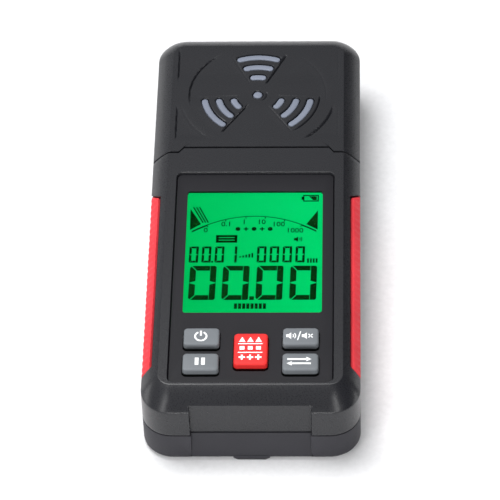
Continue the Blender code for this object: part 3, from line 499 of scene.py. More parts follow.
def lettered(text, size, x, y, z):
    """Digits as a flat solid, centred on x and y: the built-in font's outline made a mesh, then moved."""
    curve = bpy.data.curves.new("digits", "FONT")
    curve.body = text
    curve.size = size
    curve.align_x = "CENTER"
    curve.align_y = "CENTER"
    curve.extrude = (z[1] - z[0]) / 2
    curve.resolution_u = 3
    curve.offset = 0.012 * size
    obj = placed("digits", curve)
    mesh = evaluated(obj)
    mesh.calc_loop_triangles()
    points = np.empty(len(mesh.vertices) * 3)
    mesh.vertices.foreach_get("co", points)
    triangles = np.empty(len(mesh.loop_triangles) * 3, int)
    mesh.loop_triangles.foreach_get("vertices", triangles)
    bpy.data.objects.remove(obj)
    bpy.data.meshes.remove(mesh)
    bpy.data.curves.remove(curve)
    return points.reshape(-1, 3) + (x, y, (z[0] + z[1]) / 2), [triangles.reshape(-1, 3)]


def piece(name, shape, finish, stands_for=None, body="case"):
    """A finished object from a shape or a mesh. It rides on a body and may stand for a CAD node."""
    mesh = shape if isinstance(shape, bpy.types.Mesh) else to_mesh(shape)
    mesh.name = name
    if not mesh.materials:
        mesh.materials.append(FINISH[finish])
    obj = placed(name, mesh)
    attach(obj, body)
    if stands_for:
        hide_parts(stands_for)


# Finishes

def fill(tree, made, inputs):
    """Sets inputs of a node: each is a plain value or the output of another node."""
    for key, value in inputs.items():
        if isinstance(value, bpy.types.NodeSocket):
            tree.links.new(value, made.inputs[key])
        else:
            made.inputs[key].default_value = value


def node(tree, kind, output, inputs=None, **settings):
    """An output of a new shader node with its settings and inputs."""
    made = tree.nodes.new("ShaderNode" + kind)
    for key, value in settings.items():
        setattr(made, key, value)
    fill(tree, made, inputs or {})
    return made.outputs[output]


def coated(name, looks, *row):
    """A new finish: a material whose main shader gets the inputs that looks works out in its node tree."""
    material = bpy.data.materials.new(name)
    material.use_nodes = True
    tree = material.node_tree
    fill(tree, tree.nodes["Principled BSDF"], looks(tree, *row))
    return material


def object_place(tree, stretch=None):
    """Object coordinates in metres, stretched along the axes where stretch is given."""
    place = node(tree, "TexCoord", "Object")
    if stretch is None:
        return place
    return node(tree, "Mapping", "Vector", {"Vector": place, "Scale": stretch})


def speckle(tree, place, size, detail=3):
    """Noise whose blotches are about size millimetres wide."""
    inputs = {"Vector": place, "Scale": 1 / (size * MM), "Detail": detail, "Roughness": 0.6}
    return node(tree, "TexNoise", "Fac", inputs)


def between(tree, value, low, high, from_low=0.3, from_high=0.7):
    """A value carried from one range of numbers to another, clamped."""
    inputs = {"Value": value, "From Min": from_low, "From Max": from_high, "To Min": low, "To Max": high}
    return node(tree, "MapRange", "Result", inputs)


def leaning(tree, place, way):
    """How far a place lies along a way: their dot product."""
    return node(tree, "VectorMath", "Value", {0: place, 1: way}, operation="DOT_PRODUCT")


def blended(tree, share, first, second):
    """Two colours mixed by a share from 0 to 1; each is a plain colour or an output."""
    return node(tree, "Mix", 2, {0: share, 6: first, 7: second}, data_type="RGBA")


def raised(tree, height, strength, depth):
    """Surface direction bent by a relief as deep as depth millimetres."""
    return node(tree, "Bump", "Normal", {"Height": height, "Strength": strength, "Distance": depth * MM})


def shade(colour, factor):
    """A plain colour made lighter or darker by a factor."""
    return tuple(min(1, c * factor) for c in colour) + (1,)


def moulded(tree, colour, grain, relief, rough, drift=0.12, edge_wear_and_sheen=0.25, gloss=0.25, foot=None):
    """Moulded plastic or rubber: noise drifts colour and roughness and raises a grain, convex edges are made
    lighter, partly as rubbed wear and partly as a painted highlight, and below the height foot a painted
    shade darkens it nearly to black."""
    place = object_place(tree)
    fine = speckle(tree, place, grain)
    broad = between(tree, speckle(tree, place, 18, 2), 0, 1)
    surface = blended(tree, broad, shade(colour, 1 - drift), shade(colour, 1 + drift))
    surface = blended(tree, between(tree, fine, 0, 0.35), surface, shade(colour, 0.8))
    # Convex edges made lighter: partly rubbed wear, partly a painted highlight
    edges = node(tree, "NewGeometry", "Pointiness")
    surface = blended(tree, between(tree, edges, 0, edge_wear_and_sheen, 0.51, 0.58), surface, shade(colour, 1.7))
    # Painted shade: below the height foot the colour darkens nearly to black, for the shadow in the key gaps
    if foot is not None:
        height = node(tree, "SeparateXYZ", "Z", {"Vector": place})
        painted_shade = between(tree, height, 1, 0, (foot - 0.3) * MM, (foot + 0.1) * MM)
        surface = blended(tree, painted_shade, surface, shade(colour, 0.03))
    return {"Base Color": surface, "Roughness": between(tree, fine, *rough),
            "Normal": raised(tree, fine, 0.5, relief), "Specular IOR Level": gloss}


def metal(tree, colour, stretch=(1, 1, 1), rough=(0.25, 0.45)):
    """Plated metal: stretched noise draws lines in gloss and relief, broad noise dulls patches of it."""
    lines = speckle(tree, object_place(tree, stretch), 0.2)
    broad = between(tree, speckle(tree, object_place(tree), 4, 2), 0, 1)
    return {"Base Color": blended(tree, broad, shade(colour, 0.8), shade(colour, 1.1)),
            "Roughness": between(tree, lines, *rough), "Normal": raised(tree, lines, 0.3, 0.01),
            "Metallic": 1}


def circuit_board(tree):
    """Solder resist over copper: cells of a brick pattern show as raised tracks under a green film."""
    place = object_place(tree)
    tracks = node(tree, "TexBrick", "Fac", {
        "Vector": place, "Scale": 1 / (4 * MM), "Mortar Size": 0.06, "Mortar Smooth": 0.2,
        "Brick Width": 1.7, "Row Height": 0.5})
    weave = speckle(tree, place, 0.5)
    film = blended(tree, between(tree, weave, 0, 1), (0.006, 0.055, 0.018, 1), (0.01, 0.085, 0.03, 1))
    return {"Base Color": blended(tree, tracks, film, (0.03, 0.17, 0.06, 1)),
            "Roughness": between(tree, weave, 0.25, 0.42), "Normal": raised(tree, tracks, 0.4, 0.04)}


def lit_display(tree):
    """Back-lit display glass: its glow rises towards the upper right, with faint cloudy unevenness."""
    place = object_place(tree)
    cloud = speckle(tree, place, 14, 2)
    slope = between(tree, leaning(tree, place, (11, 1.5, 0)), 0, 1, -0.27, 0.25)
    glow = blended(tree, slope, (0, 0.47, 0.095, 1), (0, 0.64, 0.155, 1))
    glow = blended(tree, between(tree, cloud, 0, 0.25), glow, (0, 0.52, 0.11, 1))
    return {"Emission Color": glow, "Emission Strength": 1, "Base Color": (0, 0.03, 0.008, 1),
            "Roughness": between(tree, cloud, 0.3, 0.4), "Specular IOR Level": 0}


def clear_window(tree):
    """Polished clear plastic: full transmission, its gloss broken a little by faint smears."""
    smear = speckle(tree, object_place(tree, (0.4, 1, 1)), 6)
    tint = blended(tree, between(tree, smear, 0, 1), (0.97, 1, 0.98, 1), (0.93, 0.97, 0.94, 1))
    return {"Base Color": tint, "Roughness": between(tree, smear, 0.015, 0.06), "Transmission Weight": 1,
            "IOR": 1.06}


# Moulded finishes: colour, grain, relief, roughness from and to, drift, edge wear and painted highlight,
# gloss, height below which painted shade darkens it
MOULDED = {
    "case_plastic": ((0.0112, 0.0115, 0.0140), 0.35, 0.012, (0.25, 0.33), 0.06, 0.1, 0.42),
    "end_plastic": ((0.0255, 0.025, 0.030), 0.35, 0.02, (0.45, 0.62), 0.06),
    "panel_film": ((0.0085, 0.0082, 0.0106), 0.2, 0.006, (0.5, 0.6), 0.04, 0.25, 0.2),
    "grip_rubber": ((0.66, 0.038, 0.050), 0.3, 0.05, (0.55, 0.75), 0.12, 0.1),
    # The keys' last column, Z_PLATE, paints shade on their sides below the panel's face
    "grey_rubber": ((0.15, 0.162, 0.175), 0.25, 0.01, (0.5, 0.65), 0.12, 0.1, 0.25, Z_PLATE),
    "red_rubber": ((0.66, 0.022, 0.021), 0.25, 0.01, (0.5, 0.65), 0.12, 0.1, 0.25, Z_PLATE),
    "slot_grey": ((0.17, 0.19, 0.24), 0.3, 0.01, (0.5, 0.65), 0.12, 0.05),
    "key_print": ((0.80, 0.81, 0.82), 0.2, 0.006, (0.5, 0.65), 0.04),
    "display_ink": ((0.0012, 0.024, 0.003), 0.3, 0.001, (0.6, 0.8), 0.2, 0, 0),
    "white_plastic": ((0.70, 0.70, 0.67), 0.5, 0.02, (0.4, 0.55), 0.05),
    "black_plastic": ((0.012, 0.012, 0.013), 0.3, 0.02, (0.4, 0.6), 0.25),
    "strip_rubber": ((0.17, 0.18, 0.20), 0.3, 0.02, (0.5, 0.7)),
    "cell_wrap": ((0.018, 0.030, 0.060), 0.4, 0.004, (0.2, 0.32)),
    "cell_band": ((0.42, 0.24, 0.09), 0.4, 0.004, (0.2, 0.32))}
# Other finishes: how they are made, then colour, stretch and roughness of the metals
OTHER = {
    "plated_steel": (metal, (0.56, 0.56, 0.58)),
    "drawn_steel": (metal, (0.45, 0.43, 0.40), (0.05, 1, 1)),
    "screw_steel": (metal, (0.20, 0.20, 0.21), (1, 1, 1), (0.35, 0.5)),
    "green_board": (circuit_board,),
    "display_glow": (lit_display,),
    "window_clear": (clear_window,)}
FINISH = {name: coated(name, moulded, *row) for name, row in MOULDED.items()}
FINISH.update({name: coated(name, *row) for name, row in OTHER.items()})


# Case shells

def side_path(rounds=SIDE_ROUNDS):
    """Inset and height along the case's side: a path turning from level to upright, tightly at both ends."""
    edge_round, slope_round, wall_round, face_turn, wall_turn = rounds
    turn = np.radians(join([np.linspace(0, face_turn, 6), np.linspace(face_turn, wall_turn, 14)[1:],
                            np.linspace(wall_turn, 90, 6)[1:]]))
    mid_turn = (turn[1:] + turn[:-1]) / 2
    radius = np.select([mid_turn < radians(face_turn), mid_turn < radians(wall_turn)],
                       [edge_round, slope_round], wall_round)
    run = radius * np.diff(turn)
    across = join([[0], np.cumsum(run * np.cos(mid_turn))])
    return across[-1] - across, Z_FACE - join([[0], np.cumsum(run * np.sin(mid_turn))])


def side_profile(more_heights):
    """Inset, height and outward direction down the side from face to rim, with steps at more heights."""
    path_inset, path_z = side_path()
    z = np.unique(np.round(join([path_z, more_heights, [RIM + RIM_ROUND]]), 4))[::-1]
    inset = np.interp(z, path_z[::-1], path_inset[::-1])
    run_x, run_z = along(beside(-inset, z)).T
    return inset, z, -run_z, run_x


def wall_rows(inset, z, low, high, jog, inner_seam, ceiling):
    """Ring sizes from the face down the side, round the rim's quarter circle and up inside to the ceiling."""
    seam = (jog, SEAM_IN, SEAM_OUT, SEAM_CORNER)
    radius = PLAN_RADIUS - (PLAN_RADIUS - FACE_RADIUS) * inset / SIDE_INSET
    side = beside(HALF_W - inset, low, radius, high - SEAM_ROUND * step(z, Z_FACE - 0.4, Z_FACE), *seam, z)
    rim_in, rim_up = np.array(quarter(RIM_ROUND, 4))[:, 1:]
    rim = beside(HALF_W - rim_in, -HALF_L + rim_in, PLAN_RADIUS - rim_in, high - rim_in, *seam, RIM + rim_up)
    foot = [HALF_W - WALL, -HALF_L + END_WALL, INNER_RADIUS, high - 1.5, jog, *inner_seam]
    return join([side, rim, [foot + [RIM], foot + [CEILING_EDGE], ceiling]])


def grip_reach(z):
    """Lower and upper end of a grip at a height: two slanted lines."""
    drop = GRIP_Z_HIGH - np.clip(z, GRIP_Z_LOW, GRIP_Z_HIGH)
    return GRIP_Y_LOW - GRIP_LOWER_SLANT * drop, GRIP_Y_HIGH + GRIP_UPPER_SLANT * drop


def outline(half_x, low, low_radius, high, jog, seam_in, seam_out, high_radius, edges, sides, counts):
    """Rings round half of the case, anticlockwise: lower edge, corner, side, seam edge with a step at each
    side, side, corner. The lower edge and the sides can have knots between their ends."""
    end, hub_low = half_x - low_radius, low + low_radius
    top_end, side_top = half_x - high_radius, high - jog
    hub_high = side_top - high_radius
    side = [hub_low, *sides, hub_high]
    edge_counts, corner_count, side_counts, seam_counts = counts
    return join([
        beside(knotted(edge_counts, -end, *edges, end), low[:, None]),
        bend(end, hub_low, low_radius, -90, corner_count),
        beside(half_x[:, None], knotted(side_counts, *side)),
        bend(top_end, hub_high, high_radius, 0, SMALL_ARC_COUNT),
        beside(knotted(seam_counts, top_end, seam_out, seam_in, -seam_in, -seam_out, -top_end),
               knotted(seam_counts, side_top, side_top, high, high, side_top, side_top)),
        bend(-top_end, hub_high, high_radius, 90, SMALL_ARC_COUNT),
        beside(-half_x[:, None], knotted(side_counts, *side[::-1])),
        bend(-end, hub_low, low_radius, 180, corner_count)], 1)


def front_shell():
    """Front: rings from the sunk panel's wall over the face, down the side, round the rim and up inside, with
    grip pockets pushed in square to the side and the end recess straight in."""
    path_inset, path_z = side_path()
    notch = np.interp(END_RECESS / END_SHARE, path_inset[::-1], path_z[::-1]) + np.array([-0.15, 0, 0.15])
    pocket = [GRIP_Z_HIGH + POCKET_WALL, GRIP_Z_HIGH, GRIP_Z_LOW, GRIP_Z_LOW - POCKET_WALL]
    inset, z, out_x, out_z = side_profile(join([notch, pocket, np.linspace(14.5, 21, 5)]))
    ceiling = [26.4, -73.6, 3, 16.2, 0, 20, 22, 2.5, Z_FACE - 3.4]
    walls = wall_rows(inset, z, -HALF_L + END_SHARE * inset, SEAM_FRONT, SEAM_JOG, (22, 23.6, 1), ceiling)
    radius = PANEL_RADIUS + PANEL_RIM_OUT
    panel = beside(PANEL_HALF + PANEL_RIM_OUT, PANEL_LOW - PANEL_RIM_OUT, radius, PANEL_HIGH + PANEL_RIM_OUT,
                   0, 20, 22, radius, Z_PLATE + PANEL_RIM_UP)
    share = np.linspace(0, 1, 9)[1:-1, None]
    face = panel[-1:] * (1 - share) + walls[:1] * share
    rows = join([panel, face, walls])
    near, far = END_RECESS_HALF - END_RECESS_SOFT, END_RECESS_HALF + END_RECESS_SOFT
    grip_low, grip_high = grip_reach(rows[:, 8])
    sides = (grip_low - POCKET_WALL, grip_low, grip_high, grip_high + POCKET_WALL)
    rings = outline(*rows.T[:8], (-far, -near, near, far), sides, FRONT_COUNTS)
    rings = lifted(rings, rows[:, 8])

    edge_counts, corner_count, side_counts, seam_counts = FRONT_COUNTS
    first = len(panel) + len(face)
    side_rows = slice(first, first + len(z))
    push = GRIP_POCKET * within(z, GRIP_Z_LOW, GRIP_Z_HIGH)
    right = sum(edge_counts) + corner_count
    left = right + sum(side_counts) + 2 * SMALL_ARC_COUNT + sum(seam_counts)
    for start, way in ((right, 1), (left, -1)):
        held = start + sum(side_counts[:2])
        columns = slice(held, held + side_counts[2] + 1)
        rings[side_rows, columns, 0] -= way * (push * out_x)[:, None]
        rings[side_rows, columns, 2] -= (push * out_z)[:, None]
    lower = rings[:, :sum(edge_counts)]
    recess = END_RECESS * (np.abs(lower[..., 0]) < END_RECESS_HALF)
    lower[..., 1] = np.maximum(lower[..., 1], -HALF_L + recess)
    return closed_rings(rings, join_rows=True)


def grip(way):
    """Rubber grip: the side's profile carried along Y between slanted ends, with ribs and a round border."""
    foot, top = GRIP_Z_LOW + GRIP_SLACK, GRIP_Z_HIGH - GRIP_TOP_SLACK
    inset, z, out_x, out_z = side_profile(np.linspace(foot, top, 26))
    keep = within(z, foot, top)
    x, z, out_x, out_z = HALF_W - inset[keep], z[keep], out_x[keep], out_z[keep]
    low, high = grip_reach(z)
    share = np.linspace(0, 1, 321)[:, None]
    y = (low + GRIP_SLACK) * (1 - share) + (high - GRIP_SLACK) * share
    border = np.minimum(np.minimum(z - z[-1], z[0] - z)[None], np.minimum(y - y[0], y[-1] - y))
    ribs = GRIP_RIB_DEPTH * (0.5 - 0.5 * np.cos(2 * pi * y / GRIP_RIB_PITCH))
    sunk = 0.01 + 0.3 * (1 - step(border, -0.05, 0.55)) + ribs
    outer, inner = (beside(x - deep * out_x, y, z - deep * out_z) for deep in (sunk, GRIP_THICK))
    return closed_rings(join([outer, inner[:, ::-1]], 1) * (way, 1, 1))


def angle_off(x, y, blade):
    """Angle in degrees between a point and a blade's middle line, from -180 to 180."""
    return (np.degrees(np.arctan2(y, x)) - blade + 180) % 360 - 180


def slot_distance(x, y, blade, radius, half_angle):
    """Distance to the middle line of an arc slot: to the arc within its angle, else to its nearer end."""
    off = angle_off(x, y, blade)
    end = np.radians(blade + np.sign(off) * half_angle)
    to_end = np.hypot(x - radius * np.cos(end), y - radius * np.sin(end))
    return np.where(np.abs(off) <= half_angle, np.abs(np.hypot(x, y) - radius), to_end)


def edge_width(looks):
    """Width of a relief wall's soft edge: narrow where it looks to the right, a long ramp elsewhere."""
    return 5 - 4.7 * step(looks, -0.1, 0.45)


def crease(distance, looks, half):
    """Groove twice half wide along a relief wall, deepest where the wall looks to the right."""
    return inside(np.abs(distance) - half, 2 * half) * (0.1 + 0.9 * step(looks, 0.3, 0.7))


def head_relief(x, y):
    """Height over the head's plane: sunk field, disc and corners, raised blades, a groove along each wall and
    the arc slots, each the inside of a signed distance with a soft edge."""
    y = y - Y_TREFOIL
    reach = np.hypot(x, y)
    east, west = x / np.maximum(reach, 0.1), -np.sign(x)
    field, disc, corner = np.abs(x) - FIELD_HALF, reach - DISC_RADIUS, CORNER_RADIUS - reach
    upper, lower = hump(y, 6, 10, 18.5, 22.5), hump(-y, 4.5, 9, 18, 21)
    height = -0.1 * inside(field, edge_width(west)) * hump(y, 4, 10, 8, 22)
    height -= 0.14 * inside(disc, edge_width(-east)) * hump(y, -6, 0, 4, 20)
    height -= 0.1 * inside(corner, edge_width(east)) * inside(field, edge_width(west)) * lower
    height -= 0.5 * crease(field, west, 0.15) * np.maximum(upper, lower)
    height -= 0.55 * crease(disc, -east, 0.18) * hump(y, -5, 0, 13, 20)
    height -= 0.5 * crease(corner, east, 0.24) * inside(field, 2) * lower
    for blade in BLADES:
        off = angle_off(x, y, blade)
        beside = reach * np.sin(np.radians(np.clip(np.abs(off) - BLADE_HALF_ANGLE, -80, 80)))
        looks = np.cos(np.radians(blade + np.sign(off) * (90 + BLADE_HALF_ANGLE)))
        height += 0.1 * inside(beside, edge_width(looks)) * inside(reach - 19.4, 5) * inside(6.5 - reach, 3)
        height -= 0.6 * crease(beside, looks, 0.2) * inside(reach - 20, 2) * inside(6.4 - reach, 2)
        height -= 0.5 * crease(reach - BLADE_RADIUS, east, 0.16) * inside(beside, 2) * step(east, 0.5, 0.75)
    height -= 0.25 * crease(reach - BOSS_RADIUS, east, 0.22) * (1 - step(y, 0, 1.6))
    distances = [slot_distance(x, y, blade, *slot) - SLOT_HALF_WIDTH for blade in BLADES for slot in SLOTS]
    for distance in distances + [reach - DOT_RADIUS - 0.3]:
        cut = inside(distance, SLOT_SOFT)
        height = height * (1 - cut) - SLOT_DEPTH * cut
    return height


def head_shell():
    """Sensor head: circles round the trefoil that grow into the face's outline, lifted by the relief, then
    the side and the inside. Its outline is laid out like the front's and turned half round."""
    inset, z, _, _ = side_profile([18, 14])
    far_inset, far_z = side_path(FAR_ROUNDS)
    far = -HALF_L + END_SHARE * np.interp(z, far_z[::-1], far_inset[::-1])
    inner_seam = (SEAM_IN - 1, SEAM_OUT - 1, 1)
    ceiling = [27.5, -HALF_L + 9.5, 4, -SEAM_HEAD - 1.5, -0.5, *inner_seam, Z_FACE - 2.4]
    rows = wall_rows(inset, z, far, -SEAM_HEAD, -SEAM_JOG, inner_seam, ceiling)
    outer = lifted(-outline(*rows.T[:8], (), (), HEAD_COUNTS), rows[:, 8])

    plain = rows[:1].copy()
    plain[:, 4] = 0
    edge = -outline(*plain.T[:8], (), (), HEAD_COUNTS)[0] - (0, Y_TREFOIL)
    around = np.unwrap(np.arctan2(edge[:, 1], edge[:, 0]))
    reach = join([[0.15, 0.4, 0.7, 1], np.arange(1.2, 2.2, 0.15), np.arange(2.4, 5.6, 0.3),
                  np.arange(5.8, 21.1, 0.215)])
    disc = reach[:, None, None] * ray(around) + (0, Y_TREFOIL)
    share = np.linspace(0, 1, 42)[1:-1, None, None]
    beyond = disc[-1:] * (1 - share) + outer[:1, :, :2] * share
    top = join([disc, beyond])
    height = Z_FACE + head_relief(top[..., 0], top[..., 1])
    return closed_rings(join([lifted(top, height), outer]))


def slot_bar(blade, radius, half_angle):
    """Bar that fills an arc slot: an arc band with round ends, drawn in towards its rounded top."""
    half = BAR_HALF_WIDTH - np.array([0, 0, 0.12, 0.3, 0.55])
    z = Z_FACE - np.array([2.5, 0.4, 0.2, 0.08, 0.03])
    sweep = np.radians(blade + np.linspace(-half_angle, half_angle, 33))
    cap = np.linspace(0, pi, 9)[1:-1]
    hub = join([sweep, 0 * cap + sweep[-1], sweep[::-1], 0 * cap + sweep[0]])
    outward = join([sweep, cap + sweep[-1], sweep[::-1] + pi, cap + sweep[0] + pi])
    flat = radius * ray(hub) + half[:, None, None] * ray(outward)
    return closed_rings(lifted(flat + (0, Y_TREFOIL), z))


def slot_bars():
    """Everything that shows in the trefoil: nine bars and the centre dot on the disc that carries them."""
    bars = [slot_bar(blade, *slot) for blade in BLADES for slot in SLOTS]
    hub = (0, Y_TREFOIL, Z_FACE)
    dot = turned([(DOT_RADIUS, -2.5), (DOT_RADIUS, -0.35), (1.3, -0.15), (1, -0.05), (0.4, 0)], hub, UP)
    disc = turned([(18.5, -3.3), (18.9, -3.1), (18.9, -2.5), (18.5, -2.3)], hub, UP, 96)
    return gathered(bars + [dot, disc])


# Back, battery door and what lies in the battery compartment

def back_shell():
    """Back: rings from a rounded rim down round its edge, hollowed, with tub, screw bosses and rest panel
    joined on, then battery compartment, door way, rail grooves, end recess and screw holes cut out."""
    draw, short = quarter(BACK_ROUND, 7)
    rim_down, rim_in = quarter(RIM_ROUND, 4)
    inset, z = join([rim_in, draw]), join([BACK_RIM - rim_down, Z_BACK + short])
    rings = rounded_rings(HALF_W - inset, HALF_L - inset, PLAN_RADIUS - inset, z, corner=18, side=4)
    way, groove = DOOR_HALF + 0.05, RAIL_HALF + 0.15
    hollow = slab(HALF_W - WALL, HALF_L - END_WALL, INNER_RADIUS, Z_DOOR, PAST_RIM)
    joins = [block(-TUB_HALF, DOOR_WALL, TUB_HALF, TUB_HIGH, (Z_SEAT, TUB_TOP))]
    joins += [drum(x, y, SCREW_BOSS, (Z_SEAT, 10.6)) for x, y in SCREWS]
    joins.append(plate(REST_HALF, REST_LOW, REST_HIGH, 3, 2, 0, edge=0.6))
    cuts = [block(-BAY_HALF, BAY_LOW, BAY_HALF, BAY_HIGH, (BELOW, BAY_TOP)),
            block(-way, PAST_END, way, DOOR_HIGH + 0.2, (BELOW, Z_DOOR + 0.15)),
            block(-groove, PAST_END, groove, DOOR_HIGH - 0.3, (Z_BACK + 0.75, Z_BACK + 1.85)),
            block(-way, PAST_END, way, DOOR_WALL + 0.15, (BELOW, PAST_RIM))]
    cuts += [drum(x, y, radius, (BELOW, top)) for radius, top in SCREW_HOLES for x, y in SCREWS]
    return carved(closed_rings(rings), [("DIFFERENCE", [hollow]), ("UNION", joins), ("DIFFERENCE", cuts)])


def door():
    """Battery door: an L-shaped side view carried across, with rails, a finger lip and finger grooves."""
    start, end = (-50, Z_BACK), -HALF_L
    side_view = filleted([start, (end, Z_BACK), (end + DOOR_LEAN, BACK_RIM), (DOOR_WALL, BACK_RIM),
                          (DOOR_WALL, Z_DOOR), (DOOR_HIGH, Z_DOOR), (DOOR_HIGH, Z_BACK), start],
                         (0.9, 0.25, 0.2, 0.5, 0.2, 0.35))[:-1]
    edge = np.array([0, 0.1, 0.3])
    rails = block(-RAIL_HALF, end + 0.35, RAIL_HALF, DOOR_HIGH - 0.5, (Z_BACK + 0.9, Z_BACK + 1.7))
    lip = closed_rings(rounded_rings([LIP_HALF, LIP_HALF, LIP_TIP_HALF, LIP_TIP_HALF - 0.3], [1, 1, 1, 0.8],
                                     0.3, [Z_BACK + 1, Z_BACK, 0.25, 0], (0, end + 1)))
    grooves = [slab(7 - 0.9 * k, 0.55, 0.5, Z_BACK - 0.6, Z_BACK + 0.4, (0, -70.5 + 2.1 * k))
               for k in range(5)]
    across = join([-DOOR_HALF + edge, (DOOR_HALF - edge)[::-1]])
    rings = beside(across[:, None], *side_view.T)
    return carved(closed_rings(rings), [("UNION", [rails, lip]), ("DIFFERENCE", grooves)], sharp=22)


def back_screw(x, y):
    """Case screw: discs from the head's middle out, sunk by a cross, then edge, seat, shank and point."""
    head = join([np.linspace(0.06, 1.5, 19), [1.7, 1.9, 2.02, 2.08, 2.1]])
    lift = join([np.zeros(20), [0.04, 0.1, 0.2, 0.35]])
    shank = np.array([(2.1, 2.9), (2, 3.1), (1.2, 3.1), (1.15, 3.6), (1.15, 15.8), (0.5, 17), (0.2, 17.1)])
    discs = head[:, None, None] * circle(72)
    wide, tall = np.abs(discs[..., 0]), np.abs(discs[..., 1])
    cross = np.minimum(np.maximum(wide - 0.3, tall - 1.25), np.maximum(tall - 0.3, wide - 1.25))
    z = 1.5 + lift[:, None] + 0.85 * inside(cross, 0.16)
    top = lifted(discs, z)
    rest = lifted(shank[:, :1, None] * circle(72), shank[:, 1])
    return closed_rings(join([top, rest]) + (x, y, Z_BACK))


def cell(x, flat_end, way):
    """Round cell: a turned profile from flat end to nub, steel at both ends, a wrap between, a band on it."""
    flat = [(3.4, 0.25), (4.2, 0.25), (4.5, 0), (4.9, 0.1), (5.2, 0.45), (CELL_RADIUS, 0.7)]
    wall = [(CELL_RADIUS, at) for at in (12, 24, 34)]
    nub = [(CELL_RADIUS, -0.7), (5.15, -0.35), (4.8, -0.05), (4.3, 0), (4.1, -0.25), (2.3, -0.25),
           (1.95, 0), (1.9, 0.9), (1.75, 1.12), (1.4, NUB_LENGTH)]
    profile = flat + wall + [(radius, CELL_LENGTH + past) for radius, past in nub]
    steps = 64
    mesh = to_mesh(turned(profile, (x, flat_end, CELL_Z), (0, way, 0), steps))
    for name in ("cell_wrap", "cell_band", "plated_steel"):
        mesh.materials.append(FINISH[name])
    finish = np.repeat([2] * 3 + [0] * 5 + [1] * 4 + [2] * 6, steps)
    mesh.polygons.foreach_set("material_index", join([finish, [2, 2]]).astype(np.int32))
    return mesh


def spring(x, flat_end, way):
    """Contact spring: a wire along a helix whose radius shrinks evenly away from its plate."""
    share = np.linspace(0, 1, 141)
    turn = 2 * pi * SPRING_CURLS * share
    radius = SPRING_WIDE - (SPRING_WIDE - SPRING_NARROW) * share
    y = flat_end - way * (SPRING_START + (SPRING_END - SPRING_START) * share)
    return tube(beside(x + radius * np.cos(turn), y, CELL_Z + radius * np.sin(turn)), SPRING_WIRE)


# Front panel, keys and display

def key_place(name):
    """Middle of a key and half its size at the panel, without the flange below."""
    low, high = corners(name)[:, :2]
    return (low + high) / 2, (high - low) / 2 - KEY_FLANGE


def panel_plate():
    """Sunk panel: a thin plate with a rounded edge, cut through for the window and the keys."""
    low, high = Z_PLATE - 2, Z_PLATE + 1
    base = plate(PANEL_HALF - 0.12, PANEL_LOW + 0.05, PANEL_HIGH - 0.15, PANEL_RADIUS - 0.12, Z_PLATE - 1,
                 Z_PLATE, edge=0.15, corner=10)
    cuts = [plate(WINDOW_HALF, WINDOW_LOW, WINDOW_HIGH, WINDOW_RADIUS, low, high, corner=10)]
    for (x, y), (half_x, half_y) in map(key_place, KEYS):
        cuts.append(slab(half_x + 0.2, half_y + 0.65, 1.5, low, high, (x, y - 0.45)))
    return carved(base, [("DIFFERENCE", cuts)])


def key_cap(name):
    """Rubber key: rings from a flange under the panel up its sides and round a soft edge to the top."""
    centre, (half_x, half_y) = key_place(name)
    draw, short = quarter(KEY_SOFT, 7)
    inset = join([[-KEY_FLANGE] * 3 + [0, 0], 0.12 + draw, [2]])
    foot = Z_FACE - np.array([4.8, 4.7, 4, 3.95, 0.9])
    z = join([foot, Z_KEY_TOP - 0.04 - short, [Z_KEY_TOP]])
    radius = np.maximum(1.25 - 0.45 * inset, 0.6)
    return closed_rings(rounded_rings(half_x - inset, half_y - inset, radius, z, centre))


def speaker(x, y, size, z, waves=2):
    """Loudspeaker sign: a cone's outline, with sound waves as arcs to its right."""
    cone = [(-1, -0.35), (-0.55, -0.35), (0, -0.85), (0, 0.85), (-0.55, 0.35), (-1, 0.35)]
    rings = [arc_path(x - 0.1 * size, y, size * (0.55 + 0.42 * k), -42, 42) for k in range(waves)]
    return [prism(np.array(cone) * size + (x, y), z)] + [ribbon(ring, 0.2 * size, z) for ring in rings]


def key_signs():
    """Each key's sign round its middle: on-off ring, pause bars, sound on and off, two arrows, and three
    triangles, squares and plus signs."""
    signs = {"power_key": [ribbon(arc_path(-0.2, -0.15, 1.75, 118, 422, 48), 0.55, PRINT),
                           line((-0.2, 2.05), (-0.2, 0.1), 0.62, PRINT)],
             "hold_key": [block(x, -1.4, x + 1.15, 1.4, PRINT) for x in (-1.75, 0.2)],
             "sound_key": speaker(-2.9, 0, 1.55, PRINT) + speaker(1.9, 0, 1.55, PRINT, 0),
             "unit_key": [line((-4, 0.8), (2, 0.8), 0.62, PRINT),
                          prism([(1.8, 1.65), (3.4, 0.8), (1.8, -0.05)], PRINT),
                          line((3.2, -0.9), (-2.8, -0.9), 0.62, PRINT),
                          prism([(-2.6, -0.05), (-4.2, -0.9), (-2.6, -1.75)], PRINT)],
             "mode_key": [line((-3.9, y), (3.6, y), 0.36, PRINT) for y in (1.9, -1.6)]}
    signs["sound_key"] += [line((-0.95, -1.75), (-0.05, 1.75), 0.35, PRINT),
                           line((2.35, -0.7), (3.65, 0.7), 0.38, PRINT),
                           line((2.35, 0.7), (3.65, -0.7), 0.38, PRINT)]
    for x in (-2.65, -0.15, 2.35):
        signs["mode_key"] += [prism([(x - 1, 2.65), (x + 1, 2.65), (x, 4.65)], PRINT),
                              block(x - 0.75, -0.5, x + 0.75, 0.9, PRINT),
                              prism(plus_outline(1, 0.3) + (x, -3.5), PRINT)]
    return signs


